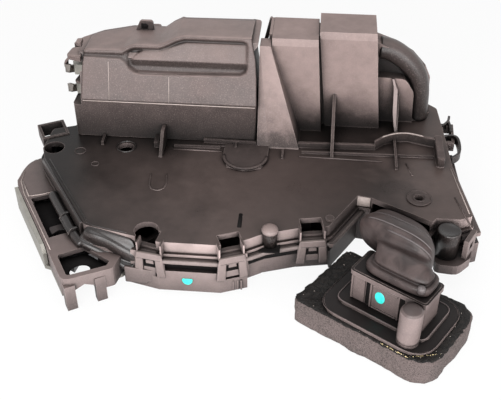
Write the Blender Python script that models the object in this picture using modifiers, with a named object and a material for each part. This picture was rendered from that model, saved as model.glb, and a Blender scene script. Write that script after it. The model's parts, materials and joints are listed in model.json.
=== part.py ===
"""Car door lock: latch head, electric lock drive, housing and harness connector.

Sizes are in millimetres and the helpers turn them into metres.
Plan axes: X along the housing, Y away from the connector side, Z up.
Plan height 0 is the upper face of the top cover.
The whole lock hangs on one empty that puts the mounting face of the steel latch plate at the origin.
"""

import math

import bmesh
import bpy
from mathutils import Matrix, Vector

MM = 0.001

# Fits
GAP = 0.3             # between pieces that touch
RUN = 0.4             # round a shaft or beside a guide
SINK = 0.5            # how far a joined form runs into its carrier

# Housing shells
COVER_WALL = 2.5
SKIRT_DEPTH = 6.2
SKIRT_WALL = 2.0
RIM_OUT = 1.4
RIM_HEIGHT = 1.3
TRAY_DEPTH = 22.5
TRAY_FLOOR = 1.8
TRAY_WALL = 2.2
TRAY_LIP_OUT = 3.5
TRAY_LIP_HEIGHT = 1.8
TRAY_CHAMFER = 2.8        # lower edge at the front right
BAND_TOP = -12.0
FOOT_HEIGHT = 1.5
FOOT_RADIUS = 4.5
EAR_TOP = -13.0
BOOT_MOUTH = (62.8, -1.0)
BOOT_TURN = -29.7

# Snap clips along the front
CLIP_WIDTH = 11.0
CLIP_HEIGHT = 9.5
CLIP_THICK = 1.4
CLIP_BAR = 2.0

# Latch head, in its own frame: x inward from its outer edge, y away from its front
HEAD_CORNER = (-69.8, -46.5)
HEAD_ANGLE = 31.0
HEAD_LENGTH = 85.0
HEAD_WIDTH = 48.0
CARRIER_ROOF = 2.0
CARRIER_WALL = 2.0
CARRIER_DEPTH = 9.3
MOUTH_CENTRE = 8.6
MOUTH_WIDTH = 8.2
MOUTH_END = 33.0
LEG_DEPTH = 6.0
LEG_WIDTH = 4.2
LEG_THICK = 4.0
PLATE_THICK = 2.0
PLATE_FLANGE = 1.5
SINK_DEPTH = 1.4      # the pins' heads lie in the plate, flush with its face
SINK_OUT = 2.0
FORK_PIVOT = (24.5, 25.0)
FORK_RADIUS = 21.0
FORK_THICK = 4.0
FORK_HUB = 9.0
FORK_OPEN = 50.0      # degrees from shut to open
FORK_PIN = 3.0
PAWL_PIVOT = (20.0, 62.0)
PAWL_PIN = 2.5
PAWL_HUB = 6.0
PAWL_NOSE_AT = 118.9  # degrees round the fork
PAWL_STUD = (20.0, 9.0)
PAWL_STUD_RADIUS = 1.8
PAWL_LIFT = 20.0
SPRING_WIRE = 0.7
SPRING_TURNS = 2.0

# Drive under the motor cover
MOTOR_RADIUS = 10.0
MOTOR_FLAT = 15.0
MOTOR_LENGTH = 25.0
MOTOR_LEFT = -65.5
DRIVE_Y = 54.0
WORM_CORE = 2.4
WORM_THREAD = 0.8
WORM_LENGTH = 19.0
WORM_PITCH = 4.0
WHEEL_RADIUS = 12.0
WHEEL_THICK = 6.0
WHEEL_TEETH = 19
WHEEL_X = -28.0
WHEEL_Z = 2.4
AXLE_RADIUS = 2.0
CRANK_REACH = 8.0
CRANK_RADIUS = 1.5
SLIDER_HEIGHT = 3.0
SLIDER_WIDTH = 6.0
SLIDER_LENGTH = 40.0

# Release levers on their shared pin
LEVER_PIVOT = (-72.5, 53.0)
LEVER_PIN = 2.0
LEVER_HUB = 3.6
LEVER_THICK = 2.2
LEVER_SPLIT = 22.0
LEVER_TOP = 32.0
HOOK_REACH = 12.5
ARM_WIDTH = 5.0
STUD_SLACK = 0.6
HOOK_HEIGHT = 5.0

# Motor cover
MOTOR_COVER_LEFT = -84.7
MOTOR_COVER_RIGHT = -1.2
MOTOR_COVER_FRONT = 42.0
MOTOR_COVER_LOW = 39.6
MOTOR_COVER_HIGH = 46.0
MOTOR_COVER_WALL = 2.0
LEAN_START = 19.0
LEAN = 0.36
SIDE_LEAN = 3.0
RECESS_DEPTH = 2.8
RECESS_LOW = 31.5
RECESS_LEFT = -59.5
RECESS_RIGHT = -5.5

# Connector, in its own frame: u along it, v away from its front
CONNECTOR_CENTRE = (53.0, -43.0)
CONNECTOR_ANGLE = -33.0
SEAL_TOP = -12.8
SEAL_BOTTOM = -24.0
FLANGE_THICK = 1.3
TIER_THICK = 1.0
BODY_U = (-9.0, 21.8)
BODY_V = (-6.0, 6.8)
BODY_TOP = 4.0
SOCKET_WALL = 1.4
SOCKET_ROOF = -4.0
PEG_RADIUS = 4.2
PEG_PLACE = (19.5, -11.7)
PIN_SIDE = 0.8
PIN_LENGTH = 13.0
PIN_PITCH = 5.0
BOOT_SECTION = 24

# Heights worked out from the sizes above
TRAY_TOP = -SKIRT_DEPTH - GAP
RAISED_FLOOR = TRAY_TOP - TRAY_LIP_HEIGHT
TRAY_INSIDE = -TRAY_DEPTH + TRAY_FLOOR
CARRIER_TOP = RAISED_FLOOR - GAP
CARRIER_BOTTOM = CARRIER_TOP - CARRIER_DEPTH
PLATE_TOP = CARRIER_BOTTOM - GAP
PLATE_FACE = PLATE_TOP - PLATE_THICK
FORK_BOTTOM = PLATE_TOP + 2 * GAP
FORK_TOP = FORK_BOTTOM + FORK_THICK
ROOF_INSIDE = CARRIER_TOP - CARRIER_ROOF
WORM_OUTER = WORM_CORE + 1.4
MOTOR_Z = WHEEL_Z + WHEEL_RADIUS + WORM_OUTER + GAP
WORM_LEFT = MOTOR_LEFT + MOTOR_LENGTH + 3.0

# Outline of the board, seen from above and walked anticlockwise: x, y and corner radius
BOARD = [(-97.0, 46.0, 2), (-97.5, 30.0, 0), (-94.5, 22.0, 2), (-66.0, -22.0, 3), (-47.0, -26.6, 2),
         (-34.0, -30.0, 1), (-10.0, -30.0, 2), (0.0, -26.0, 1), (7.0, -21.5, 1), (20.0, -17.0, 2),
         (33.0, -14.5, 2), (45.0, 7.0, 0), (50.5, 6.0, 0), (75.0, -8.0, 0), (77.0, -5.5, 0),
         (86.5, -5.5, 2), (92.0, -3.0, 2), (87.0, 30.0, 3), (86.0, 50.0, 2), (84.0, 80.0, 3),
         (80.0, 84.0, 2), (-66.0, 84.0, 3), (-84.0, 72.0, 4), (-87.0, 50.0, 1)]

# Outline of the latch head in its own frame
HEAD = [(0.0, 0.0, 3), (20.5, -1.6, 2), (26.0, 4.6, 2), (HEAD_WIDTH, 14.0, 4), (HEAD_WIDTH, 73.0, 4),
        (36.0, HEAD_LENGTH, 3), (12.5, HEAD_LENGTH, 5), (0.0, 73.0, 9)]

# Where the three front clips sit: middle, and the angle of their edge
CLIPS = [((-39.5, -28.5), -10.0), ((-5.0, -28.0), 21.8), ((26.5, -15.7), 10.9)]

PALETTE = {
    "cover_plastic": ((0.085, 0.068, 0.066), 0.42, 0.0),
    "tray_plastic": ((0.075, 0.062, 0.061), 0.5, 0.0),
    "drive_cover_plastic": ((0.16, 0.12, 0.125), 0.62, 0.0),
    "carrier_plastic": ((0.07, 0.058, 0.057), 0.5, 0.0),
    "zinc_steel": ((0.6, 0.58, 0.55), 0.35, 1.0),
    "dark_steel": ((0.12, 0.12, 0.13), 0.45, 1.0),
    "spring_steel": ((0.5, 0.5, 0.5), 0.3, 1.0),
    "gear_plastic": ((0.8, 0.78, 0.72), 0.5, 0.0),
    "motor_steel": ((0.55, 0.55, 0.56), 0.3, 1.0),
    "brass": ((0.75, 0.55, 0.25), 0.3, 1.0),
    "rubber": ((0.035, 0.03, 0.03), 0.75, 0.0),
    "connector_plastic": ((0.06, 0.05, 0.05), 0.45, 0.0),
    "foam": ((0.19, 0.16, 0.15), 0.95, 0.0),
}


# Scene and helpers

def clear_scene():
    for thing in list(bpy.data.objects):
        bpy.data.objects.remove(thing, do_unlink=True)


def make_material(name):
    colour, roughness, metallic = PALETTE[name]
    material = bpy.data.materials.new(name)
    material.use_nodes = True
    shader = material.node_tree.nodes["Principled BSDF"]
    shader.inputs["Base Color"].default_value = (*colour, 1.0)
    shader.inputs["Roughness"].default_value = roughness
    shader.inputs["Metallic"].default_value = metallic
    return material


def rounded(corners, steps=2):
    """Points of an outline whose corners (x, y, radius) are arcs."""
    points = []
    count = len(corners)
    for index, corner in enumerate(corners):
        here = Vector(corner[:2])
        radius = corner[2] if len(corner) > 2 else 0.0
        before = Vector(corners[index - 1][:2]) - here
        after = Vector(corners[(index + 1) % count][:2]) - here
        if radius <= 0.0:
            points.append(tuple(here))
            continue
        half = before.angle(after) / 2
        reach = min(radius / math.tan(half), 0.45 * before.length, 0.45 * after.length)
        radius = reach * math.tan(half)
        middle = here + (before.normalized() + after.normalized()).normalized() * radius / math.sin(half)
        start = here + before.normalized() * reach - middle
        turn = start.angle_signed(here + after.normalized() * reach - middle)
        for step in range(steps + 1):
            arm = start.copy()
            arm.rotate(Matrix.Rotation(-turn * step / steps, 2))
            points.append(tuple(middle + arm))
    return points


def grown(corners, distance):
    """The same outline moved outwards by a distance, or inwards by a negative one."""
    result = []
    count = len(corners)
    for index, corner in enumerate(corners):
        here = Vector(corner[:2])
        before = (here - Vector(corners[index - 1][:2])).normalized()
        after = (Vector(corners[(index + 1) % count][:2]) - here).normalized()
        out_before = Vector((before.y, -before.x))
        out_after = Vector((after.y, -after.x))
        miter = out_before + out_after
        miter = miter * (2.0 / miter.length_squared)
        turn = before.cross(after)
        radius = corner[2] if len(corner) > 2 else 0.0
        if radius > 0.0:
            radius = max(0.0, radius + (distance if turn > 0 else -distance))
        place = here + miter * distance
        result.append((place.x, place.y, radius))
    return result


def circle(x, y, radius, steps=20):
    return [(x + radius * math.cos(math.tau * k / steps), y + radius * math.sin(math.tau * k / steps))
            for k in range(steps)]


def add(mesh, name):
    thing = bpy.data.objects.new(name, mesh)
    bpy.context.scene.collection.objects.link(thing)
    return thing


def bake(thing):
    """Apply an object's modifiers and transform to its mesh."""
    bpy.context.view_layer.update()
    graph = bpy.context.evaluated_depsgraph_get()
    mesh = bpy.data.meshes.new_from_object(thing.evaluated_get(graph))
    mesh.transform(thing.matrix_world)
    name = thing.name
    bpy.data.objects.remove(thing, do_unlink=True)
    work = bmesh.new()
    work.from_mesh(mesh)
    bmesh.ops.remove_doubles(work, verts=work.verts, dist=0.002 * MM)
    work.to_mesh(mesh)
    work.free()
    return add(mesh, name)


def prism(outline, low, high, axis="Z", holes=()):
    """A flat outline given thickness: across Z it is (x, y), across X (y, z), across Y (x, z)."""
    curve = bpy.data.curves.new("outline", "CURVE")
    curve.dimensions = "2D"
    curve.fill_mode = "BOTH"
    curve.extrude = (high - low) / 2 * MM
    for ring in (outline, *holes):
        spline = curve.splines.new("POLY")
        spline.points.add(len(ring) - 1)
        for point, place in zip(spline.points, ring):
            point.co = (place[0] * MM, place[1] * MM, 0.0, 1.0)
        spline.use_cyclic_u = True
    thing = add(curve, "prism")
    middle = (low + high) / 2 * MM
    if axis == "Z":
        thing.matrix_world = Matrix.Translation((0, 0, middle))
    elif axis == "X":
        thing.matrix_world = Matrix(((0, 0, 1, middle), (1, 0, 0, 0), (0, 1, 0, 0), (0, 0, 0, 1)))
    else:
        thing.matrix_world = Matrix(((1, 0, 0, 0), (0, 0, -1, middle), (0, 1, 0, 0), (0, 0, 0, 1)))
    return bake(thing)


def box(x, y, z):
    """A block between three pairs of limits."""
    bpy.ops.mesh.primitive_cube_add(size=1.0)
    thing = bpy.context.object
    thing.scale = [(pair[1] - pair[0]) * MM for pair in (x, y, z)]
    thing.location = [(pair[0] + pair[1]) / 2 * MM for pair in (x, y, z)]
    return bake(thing)


def cylinder(x, y, low, high, radius, axis="Z", steps=20, tip=None):
    """A round bar along an axis; x and y are the other two coordinates in their order."""
    bpy.ops.mesh.primitive_cone_add(vertices=steps, radius1=radius * MM,
                                    radius2=(radius if tip is None else tip) * MM,
                                    depth=(high - low) * MM)
    thing = bpy.context.object
    middle = (low + high) / 2
    if axis == "Z":
        thing.location = (x * MM, y * MM, middle * MM)
    elif axis == "X":
        thing.location = (middle * MM, x * MM, y * MM)
        thing.rotation_euler = (0, math.pi / 2, 0)
    else:
        thing.location = (x * MM, middle * MM, y * MM)
        thing.rotation_euler = (-math.pi / 2, 0, 0)
    return bake(thing)


def turned(profile, steps=20):
    """A turned piece from (radius, height) points that run down its outer side."""
    mesh = bpy.data.meshes.new("profile")
    points = [(radius * MM, 0.0, height * MM) for radius, height in profile]
    mesh.from_pydata(points, [(k, k + 1) for k in range(len(points) - 1)], [])
    thing = add(mesh, "turned")
    screw = thing.modifiers.new("turn", "SCREW")
    screw.steps = steps
    screw.render_steps = steps
    screw.use_merge_vertices = True
    screw.merge_threshold = 0.00001
    return bake(thing)


def tube(points, radius, resolution=2):
    """A wire along points."""
    curve = bpy.data.curves.new("wire", "CURVE")
    curve.dimensions = "3D"
    curve.bevel_depth = radius * MM
    curve.bevel_resolution = resolution
    curve.use_fill_caps = True
    spline = curve.splines.new("POLY")
    spline.points.add(len(points) - 1)
    for point, place in zip(spline.points, points):
        point.co = (place[0] * MM, place[1] * MM, place[2] * MM, 1.0)
    return bake(add(curve, "wire"))


def loft(rings):
    """A closed body through rings of points that match one another."""
    work = bmesh.new()
    loops = [[work.verts.new(Vector(place) * MM) for place in ring] for ring in rings]
    for one, two in zip(loops, loops[1:]):
        for step in range(len(one)):
            after = (step + 1) % len(one)
            work.faces.new((one[step], one[after], two[after], two[step]))
    work.faces.new(loops[0][::-1])
    work.faces.new(loops[-1])
    bmesh.ops.recalc_face_normals(work, faces=work.faces)
    mesh = bpy.data.meshes.new("loft")
    work.to_mesh(mesh)
    work.free()
    return add(mesh, "loft")


def rib(start, end, thick, low, high):
    """An upright rib between two places of the plan."""
    along = Vector(end) - Vector(start)
    side = Vector((-along.y, along.x)).normalized() * thick / 2
    ring = [Vector(start) - side, Vector(end) - side, Vector(end) + side, Vector(start) + side]
    return prism([tuple(place) for place in ring], low, high)


def combine(target, tools, operation):
    for tool in tools:
        change = target.modifiers.new(operation.lower(), "BOOLEAN")
        change.operation = operation
        change.solver = "EXACT"
        change.object = tool
        target = bake(target)
        bpy.data.objects.remove(tool, do_unlink=True)
    return target


def join(target, *tools):
    return combine(target, tools, "UNION")


def cut(target, *tools):
    return combine(target, tools, "DIFFERENCE")


def moved(thing, x=0.0, y=0.0, z=0.0, turn=0.0):
    """Turn a work piece about Z and then shift it."""
    thing.data.transform(Matrix.Translation((x * MM, y * MM, z * MM)) @ Matrix.Rotation(math.radians(turn), 4, "Z"))
    return thing


def finish(thing, name, slot, parent, place=(0.0, 0.0, 0.0), smooth=False):
    """Name a piece, give it its material, and set its origin at its place under its parent."""
    work = bmesh.new()
    work.from_mesh(thing.data)
    bmesh.ops.dissolve_limit(work, angle_limit=math.radians(0.2), verts=work.verts, edges=work.edges)
    work.to_mesh(thing.data)
    work.free()
    thing.name = name
    thing.data.name = name
    thing.data.transform(Matrix.Translation([-value * MM for value in place]))
    thing.data.materials.clear()
    thing.data.materials.append(MATERIALS[slot])
    if smooth:
        thing.data.shade_smooth()
        thing.data.set_sharp_from_angle(angle=math.radians(35))
    for group in list(thing.users_collection):
        group.objects.unlink(thing)
    LOCK.objects.link(thing)
    thing.parent = parent
    thing.location = [value * MM for value in place]
    return thing


def empty(name, place, turn=0.0, parent=None):
    thing = bpy.data.objects.new(name, None)
    LOCK.objects.link(thing)
    thing.location = [value * MM for value in place]
    thing.rotation_euler = (0.0, 0.0, math.radians(turn))
    thing.parent = parent
    return thing


def head_to_plan(x, y):
    """A place of the latch head's frame in the plan."""
    turn = math.radians(HEAD_ANGLE)
    return (HEAD_CORNER[0] + x * math.cos(turn) - y * math.sin(turn),
            HEAD_CORNER[1] + x * math.sin(turn) + y * math.cos(turn))


def plan_to_head(x, y):
    """A place of the plan in the latch head's frame."""
    turn = math.radians(HEAD_ANGLE)
    over, along = x - HEAD_CORNER[0], y - HEAD_CORNER[1]
    return (over * math.cos(turn) + along * math.sin(turn), -over * math.sin(turn) + along * math.cos(turn))


# Top cover with its compartments

def lean_cutter(front, start, slope, left=-120.0, right=40.0, top=70.0):
    """Everything in front of a wall that leans back from a start height."""
    back = front + slope * (top - start)
    return prism([(front - 40, start), (front, start), (back, top), (front - 40, top)], left, right, "X")


def cover_shell():
    shell = prism(rounded(BOARD), -SKIRT_DEPTH, 0)
    shell = cut(shell, prism(rounded(grown(BOARD, -SKIRT_WALL)), -SKIRT_DEPTH - 1, -COVER_WALL))
    rim = prism(rounded(grown(BOARD, RIM_OUT)), -SKIRT_DEPTH, -SKIRT_DEPTH + RIM_HEIGHT,
                holes=[rounded(grown(BOARD, -SKIRT_WALL / 2))])
    return join(shell, rim)


def hollow_box(outline, front, back, wall, chamfer=3.0):
    """A compartment: outline across Y in (x, z), open at the bottom, its front top edge chamfered."""
    top = max(place[1] for place in outline)
    outer = prism(outline, front, back, "Y")
    edge = prism([(front - 1, top - chamfer), (front, top - chamfer), (front + 1.2, top + 0.2),
                  (front - 1, top + 0.2)], -120, 120, "X")
    outer = cut(outer, edge)
    inner = [(x, z) for x, z, *_ in grown([(x, z, 0) for x, z in outline], -wall)]
    low = min(place[1] for place in inner)
    inner = [(x, z - 3 * COVER_WALL - 2 * wall if z == low or z < low + 0.01 else z) for x, z in inner]
    return outer, prism(inner, front + wall, back - wall, "Y")


def slanted_wedge():
    """The broad rib between the two blocks; its right edge runs up to a narrow top."""
    body = prism([(-0.5, -SINK), (18.9, -SINK), (18.6, 0), (4.2, 44.4), (-0.5, 44.4)], 38.6, 60.0, "Y")
    return cut(body, lean_cutter(39.0, 0.0, 0.3))


def arch_end():
    """The rounded end wall behind the low compartment: it widens to the back and is hollow in front."""
    narrow = [(50, -SINK), (73, -SINK), (72, 4.6), (71.4, 16.8), (69.8, 23.4), (65.8, 30.3), (60.7, 36.4), (50, 40.6)]
    wide = [(50, -SINK), (80, -SINK), (78.7, 6.3), (78, 19.2), (75.2, 25.1), (68.9, 32), (60.8, 37), (50, 41)]
    body = loft([[(x, y, z) for x, z in ring] for ring, y in ((narrow, 68), (wide, 76), (wide, 78))])
    small = [(53, 1), (71.4, 1), (70.4, 5), (69.8, 16), (68.2, 22.4), (64.4, 29), (59.6, 34.0), (52.6, 37.2)]
    large = [(53, 1), (77, 1), (76.4, 6), (75.6, 18), (73, 23.6), (67.2, 30), (59.8, 34.8), (53, 38)]
    return cut(body, loft([[(x, y, z) for x, z in ring] for ring, y in ((small, 66), (large, 75.6))]))


def clip_loop():
    """One snap clip: a frame round the window that the catch fills, hung from the skirt."""
    half = CLIP_WIDTH / 2
    low = -SKIRT_DEPTH - CLIP_HEIGHT + RIM_HEIGHT
    window = [(-half + CLIP_BAR, low + CLIP_BAR), (half - CLIP_BAR, low + CLIP_BAR),
              (half - CLIP_BAR, -SKIRT_DEPTH - CLIP_BAR), (-half + CLIP_BAR, -SKIRT_DEPTH - CLIP_BAR)]
    top = -SKIRT_DEPTH + 1.5 * RIM_HEIGHT
    frame = rounded([(-half - 0.6, low, 1), (half + 0.6, low, 1), (half, top, 0.6), (-half, top, 0.6)], 2)
    front = -CLIP_THICK - TRAY_WALL / 2 - 2 * GAP
    plate = prism(frame, front, front + CLIP_THICK, "Y", holes=[window])
    bridge = box((-half + 0.3, half - 0.3), (front + CLIP_THICK / 2, SKIRT_WALL / 2),
                 (-SKIRT_DEPTH + 0.2 * RIM_HEIGHT, -SKIRT_DEPTH + 1.3 * RIM_HEIGHT))
    return join(plate, bridge)


def plate_ribs():
    """Rails and ribs that stand on the cover in front of the blocks."""
    low = -SINK
    walls = [((-25, 41.1), (-1.0, 40.3), 1.0, 2.4), ((18, 40.8), (53, 42.0), 1.2, 2.8),
             ((-38, 36.2), (-17, 36.6), 0.8, 1.4), ((20, 36.2), (79, 37.4), 0.7, 1.2),
             ((-10, 36.8), (-10, 41.6), 0.9, 1.6), ((11.5, 31), (11.5, 37), 0.8, 1.4),
             ((-71, 35), (-71.2, 41.6), 1.0, 1.8), ((-46, 35), (-46.2, 41.6), 2.0, 3.0),
             ((62, 27), (62, 52), 1.0, 1.8)]
    pieces = [rib(start, end, thick, low, high) for start, end, thick, high in walls]
    hump = [(52.6, 42.0), (57, 46.6), (62, 49.4), (68, 50.2), (76, 47.6), (80.5, 46.4)]
    outer = [(x, y + 0.7) for x, y in hump]
    inner = [(x, y - 0.7) for x, y in reversed(hump)]
    pieces.append(prism(inner + outer, low, 4.5))
    pieces.append(prism(rounded([(79.8, 30, 1.2), (83.2, 30, 1.2), (83.2, 49.5, 1.2), (79.8, 49.5, 1.2)]), low, 4.4))
    pieces.append(prism([(32.0, low), (60.5, low), (60.5, 18.0)], 32.9, 34.2, "X"))
    pieces.append(prism([(54.5, low), (74.5, low), (74.5, 16.5), (66, 15.0)], 62.4, 63.7, "X"))
    return pieces


def drive_seats():
    """Cradles for the motor and ears for the wheel's axle, under the motor cover."""
    pieces = []
    for x in (MOTOR_LEFT + 4, MOTOR_LEFT + MOTOR_LENGTH - 4):
        pieces.append(box((x - 1.5, x + 1.5), (DRIVE_Y - 4, DRIVE_Y + 4), (-SINK, MOTOR_Z - MOTOR_RADIUS - GAP)))
    for y in (DRIVE_Y - WHEEL_THICK / 2 - 4.5, DRIVE_Y + WHEEL_THICK / 2 + 4.5):
        ear = prism(rounded([(WHEEL_X - 4.5, -SINK, 0), (WHEEL_X + 4.5, -SINK, 0), (WHEEL_X + 4.5, WHEEL_Z + 4.5, 4),
                             (WHEEL_X - 4.5, WHEEL_Z + 4.5, 4)]), y - 1, y + 1, "Y")
        pieces.append(cut(ear, cylinder(WHEEL_X, WHEEL_Z, y - 2, y + 2, AXLE_RADIUS + GAP, "Y", 12)))
    return pieces


def corner_loop():
    """The open square guide at the rear left corner."""
    side = 6.2
    wall = 1.2
    ring = prism([(-side, -side), (side, -side), (side, side), (-side, side)], -5.6, 0.6,
                 holes=[[(-side + wall, -side + wall), (side - wall, -side + wall), (side - wall, side - wall),
                         (-side + wall, side - wall)]])
    return moved(ring, -96.8, 45.2, 0, 28.0)


def side_loop(x, y, turn, low, high):
    """The cable guide on the right edge."""
    ring = prism([(-3.6, -8), (2.4, -8), (2.4, 8), (-3.6, 8)], low, high,
                 holes=[[(-2.4, -6.6), (1.2, -6.6), (1.2, 6.6), (-2.4, 6.6)]])
    return moved(ring, x, y, 0, turn)


def make_top_cover(root):
    cover = cover_shell()
    shells = [hollow_box([(6, -SINK), (28.2, -SINK), (24.9, 46.5), (4.6, 46.5)], 55, 77, 2.0),
              hollow_box([(30.1, -SINK), (55.3, -SINK), (50.5, 48.0), (25.4, 48.0)], 60, 80, 2.0)]
    web = prism([(27.0, -SINK), (31.5, -SINK), (26.6, 46.0), (23.6, 46.0)], 61.5, 74, "Y")
    fin = prism([(0.4, -SINK), (7.0, -SINK), (5.2, 45.8), (4.4, 46.6), (3.2, 46.6)], 60, 76.5, "Y")
    low_box = prism(rounded([(51.5, -SINK), (71.0, -SINK), (70.2, 16, 4), (66, 23.0, 4), (51.5, 23.6)]), 66.5, 77, "Y")
    cover = join(cover, slanted_wedge(), web, fin, shells[0][0], shells[1][0], arch_end(), low_box)
    cover = cut(cover, shells[0][1], shells[1][1])
    cover = join(cover, *plate_ribs(), *drive_seats())
    pad = rounded([(-15, 30, 0), (-15, 29.5, 0), (-12.5, 22.5, 0), (-5, 20, 5), (2.5, 22.5, 0), (5, 29.5, 0), (5, 39.6, 1),
                   (-15, 39.6, 1)])
    cover = join(cover, prism(pad, -SINK, 1.0), cylinder(70.5, 7, -SINK, 0.5, 5.2, steps=24),
                 cylinder(8.5, -18.5, -SKIRT_DEPTH + 2 * RIM_HEIGHT, 1.2, 3.4, steps=16, tip=2.2),
                 cylinder(33.4, -9.8, -SINK, 0.8, 1.8, steps=12))
    cover = join(cover, corner_loop(), side_loop(88.0, 60.0, -3.0, -5.5, -1.0))
    for (x, y), turn in CLIPS:
        half = CLIP_WIDTH / 2 - CLIP_BAR / 2
        pocket = box((-half, half), (-6, 6), (-SKIRT_DEPTH + 2 * RIM_HEIGHT, 2))
        cover = cut(cover, moved(pocket, x, y, 0, turn))
        cover = join(cover, moved(clip_loop(), x, y, 0, turn))
    drive_hole = box((WHEEL_X - WHEEL_RADIUS - 2, WHEEL_X + WHEEL_RADIUS + 2),
                     (DRIVE_Y - WHEEL_THICK / 2 - 3.4, DRIVE_Y + WHEEL_THICK / 2 + 3.4), (-COVER_WALL - 1, 1))
    lever_hole = cylinder(LEVER_PIVOT[0], LEVER_PIVOT[1], -COVER_WALL - 1, 1, LEVER_HUB + RUN)
    boot_gap = moved(box((-13.3, 13.3), (-3, 3.4), (-SKIRT_DEPTH - 1, -COVER_WALL - 0.01)), *BOOT_MOUTH, 0, BOOT_TURN)
    cover = cut(cover, drive_hole, lever_hole, boot_gap,
                cylinder(-40, -23, -COVER_WALL - 1, 1, 5.0), cylinder(-60, 34, -COVER_WALL - 1, 1, 3.6, steps=14),
                cylinder(-92.5, 31, -SKIRT_DEPTH - 1, 1, 4.6), cylinder(70.5, 7, -COVER_WALL - 1, 2, 2.0, steps=14),
                box((-3.8, -2.3), (-17, -10), (-COVER_WALL - 1, 1)))
    return finish(cover, "top_cover", "cover_plastic", root)


# Motor cover

def motor_form(inset):
    """The motor cover's outer form, or the space inside it when inset is more than 0."""
    left, right, front = MOTOR_COVER_LEFT, MOTOR_COVER_RIGHT, MOTOR_COVER_FRONT
    plan = [(left, front, 2), (right, front, 1), (right, 75, 2), (-36, 74, 2), (-42, 77.3, 2), (-61, 77, 5),
            (-74, 71, 4), (-82, 63.5, 3), (left, 58, 3)]
    low = GAP if inset == 0 else -5
    form = prism(rounded(grown(plan, -inset)), low, MOTOR_COVER_HIGH - inset)
    step = [(-100, MOTOR_COVER_LOW - inset), (-46 + inset / 2, MOTOR_COVER_LOW - inset),
            (-36 + inset / 2, MOTOR_COVER_HIGH + 1 - inset), (-36, 60), (-100, 60)]
    side = [(right - inset, LEAN_START), (10, LEAN_START), (10, 60), (right - inset - SIDE_LEAN, 60 - LEAN_START)]
    form = cut(form, prism(step, 30, 100, "Y"), prism(side, 30, 100, "Y"), lean_cutter(front + inset, LEAN_START, LEAN))
    if inset > 0:
        low = RECESS_LOW - inset
        form = cut(form, lean_cutter(front + inset + RECESS_DEPTH + LEAN * (low - LEAN_START), low, LEAN, RECESS_LEFT - 3))
    return form


def recess_cutter():
    """The long recess of the leaning wall, with a sloped strip left standing in it."""
    steps = [(-3, RECESS_LOW), (RECESS_DEPTH - 0.8, RECESS_LOW + 0.6), (RECESS_DEPTH - 0.4, 37.2), (0.5, 37.7),
             (RECESS_DEPTH - 0.2, 43.0), (RECESS_DEPTH, 50), (-3, 50)]
    ring = [(MOTOR_COVER_FRONT + LEAN * (z - LEAN_START) + depth, z) for depth, z in steps]
    return prism(ring, RECESS_LEFT, RECESS_RIGHT, "X")


def cover_lug():
    """The lug with a hole behind the low end of the motor cover."""
    ring = rounded([(-62.5, 74, 0), (-49, 74, 0), (-50, 86.2, 1.5), (-59.4, 86.0, 1.5)])
    return prism(ring, 33.8, 36.2, holes=[circle(-55.6, 81.6, 2.0, 12)[::-1]])


def make_motor_cover(root):
    cover = cut(motor_form(0.0), motor_form(MOTOR_COVER_WALL))
    cover = cut(cover, recess_cutter())
    hood = box((-90, -80.5), (40, 57), (16.6, 60))
    window = box((-90, -76), (LEVER_PIVOT[1] - 6.5, LEVER_PIVOT[1] + 6.0), (16.6, 35.5))
    cover = cut(cover, hood, window)
    closing = box((-80.7, -78.7), (46.0, 60.4), (15.2, MOTOR_COVER_LOW - 0.01))
    closing = cut(closing, box((-90, -76), (LEVER_PIVOT[1] - 6.5, LEVER_PIVOT[1] + 6.0), (16, 35.5)),
                  lean_cutter(MOTOR_COVER_FRONT + 0.6, LEAN_START, LEAN))
    shelf = box((MOTOR_COVER_LEFT + 1, -79), (MOTOR_COVER_FRONT + 1, 56), (14.9, 16.6))
    shelf = cut(shelf, cylinder(LEVER_PIVOT[0], LEVER_PIVOT[1], 10, 20, LEVER_HUB + RUN))
    cover = join(cover, closing, shelf, cover_lug())
    socket = cylinder(LEVER_PIVOT[0], LEVER_PIVOT[1], LEVER_TOP + GAP, MOTOR_COVER_LOW - 1, LEVER_PIN + 2)
    socket = cut(socket, cylinder(LEVER_PIVOT[0], LEVER_PIVOT[1], LEVER_TOP - 1, LEVER_TOP + 2.4, LEVER_PIN + GAP))
    cover = join(cover, socket)
    return finish(cover, "motor_cover", "drive_cover_plastic", root)


# Base tray

def strip(path, inner, outer):
    """A closed ring that follows an open path between two offsets, outwards being to its right."""
    sides = []
    for distance in (inner, outer):
        places = []
        for index, here in enumerate(path):
            here = Vector(here[:2])
            before = Vector(path[max(index - 1, 0)][:2])
            after = Vector(path[min(index + 1, len(path) - 1)][:2])
            into = (here - before).normalized() if index else (after - here).normalized()
            away = (after - here).normalized() if index < len(path) - 1 else into
            miter = Vector((into.y, -into.x)) + Vector((away.y, -away.x))
            places.append(tuple(here + miter * (2.0 / miter.length_squared) * distance))
        sides.append(places)
    return sides[1] + sides[0][::-1]


def clip_catch():
    """The wedge on the tray that a clip's window snaps over."""
    half = CLIP_WIDTH / 2 - CLIP_BAR - RUN
    face = -TRAY_WALL / 2
    top = -SKIRT_DEPTH - CLIP_BAR - RUN
    low = -SKIRT_DEPTH - CLIP_HEIGHT + RIM_HEIGHT + CLIP_BAR + RUN
    return prism([(face + 0.6, top), (face - 0.2, top), (face - CLIP_THICK - RUN, low), (face + 0.6, low)],
                 -half, half, "X")


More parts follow.
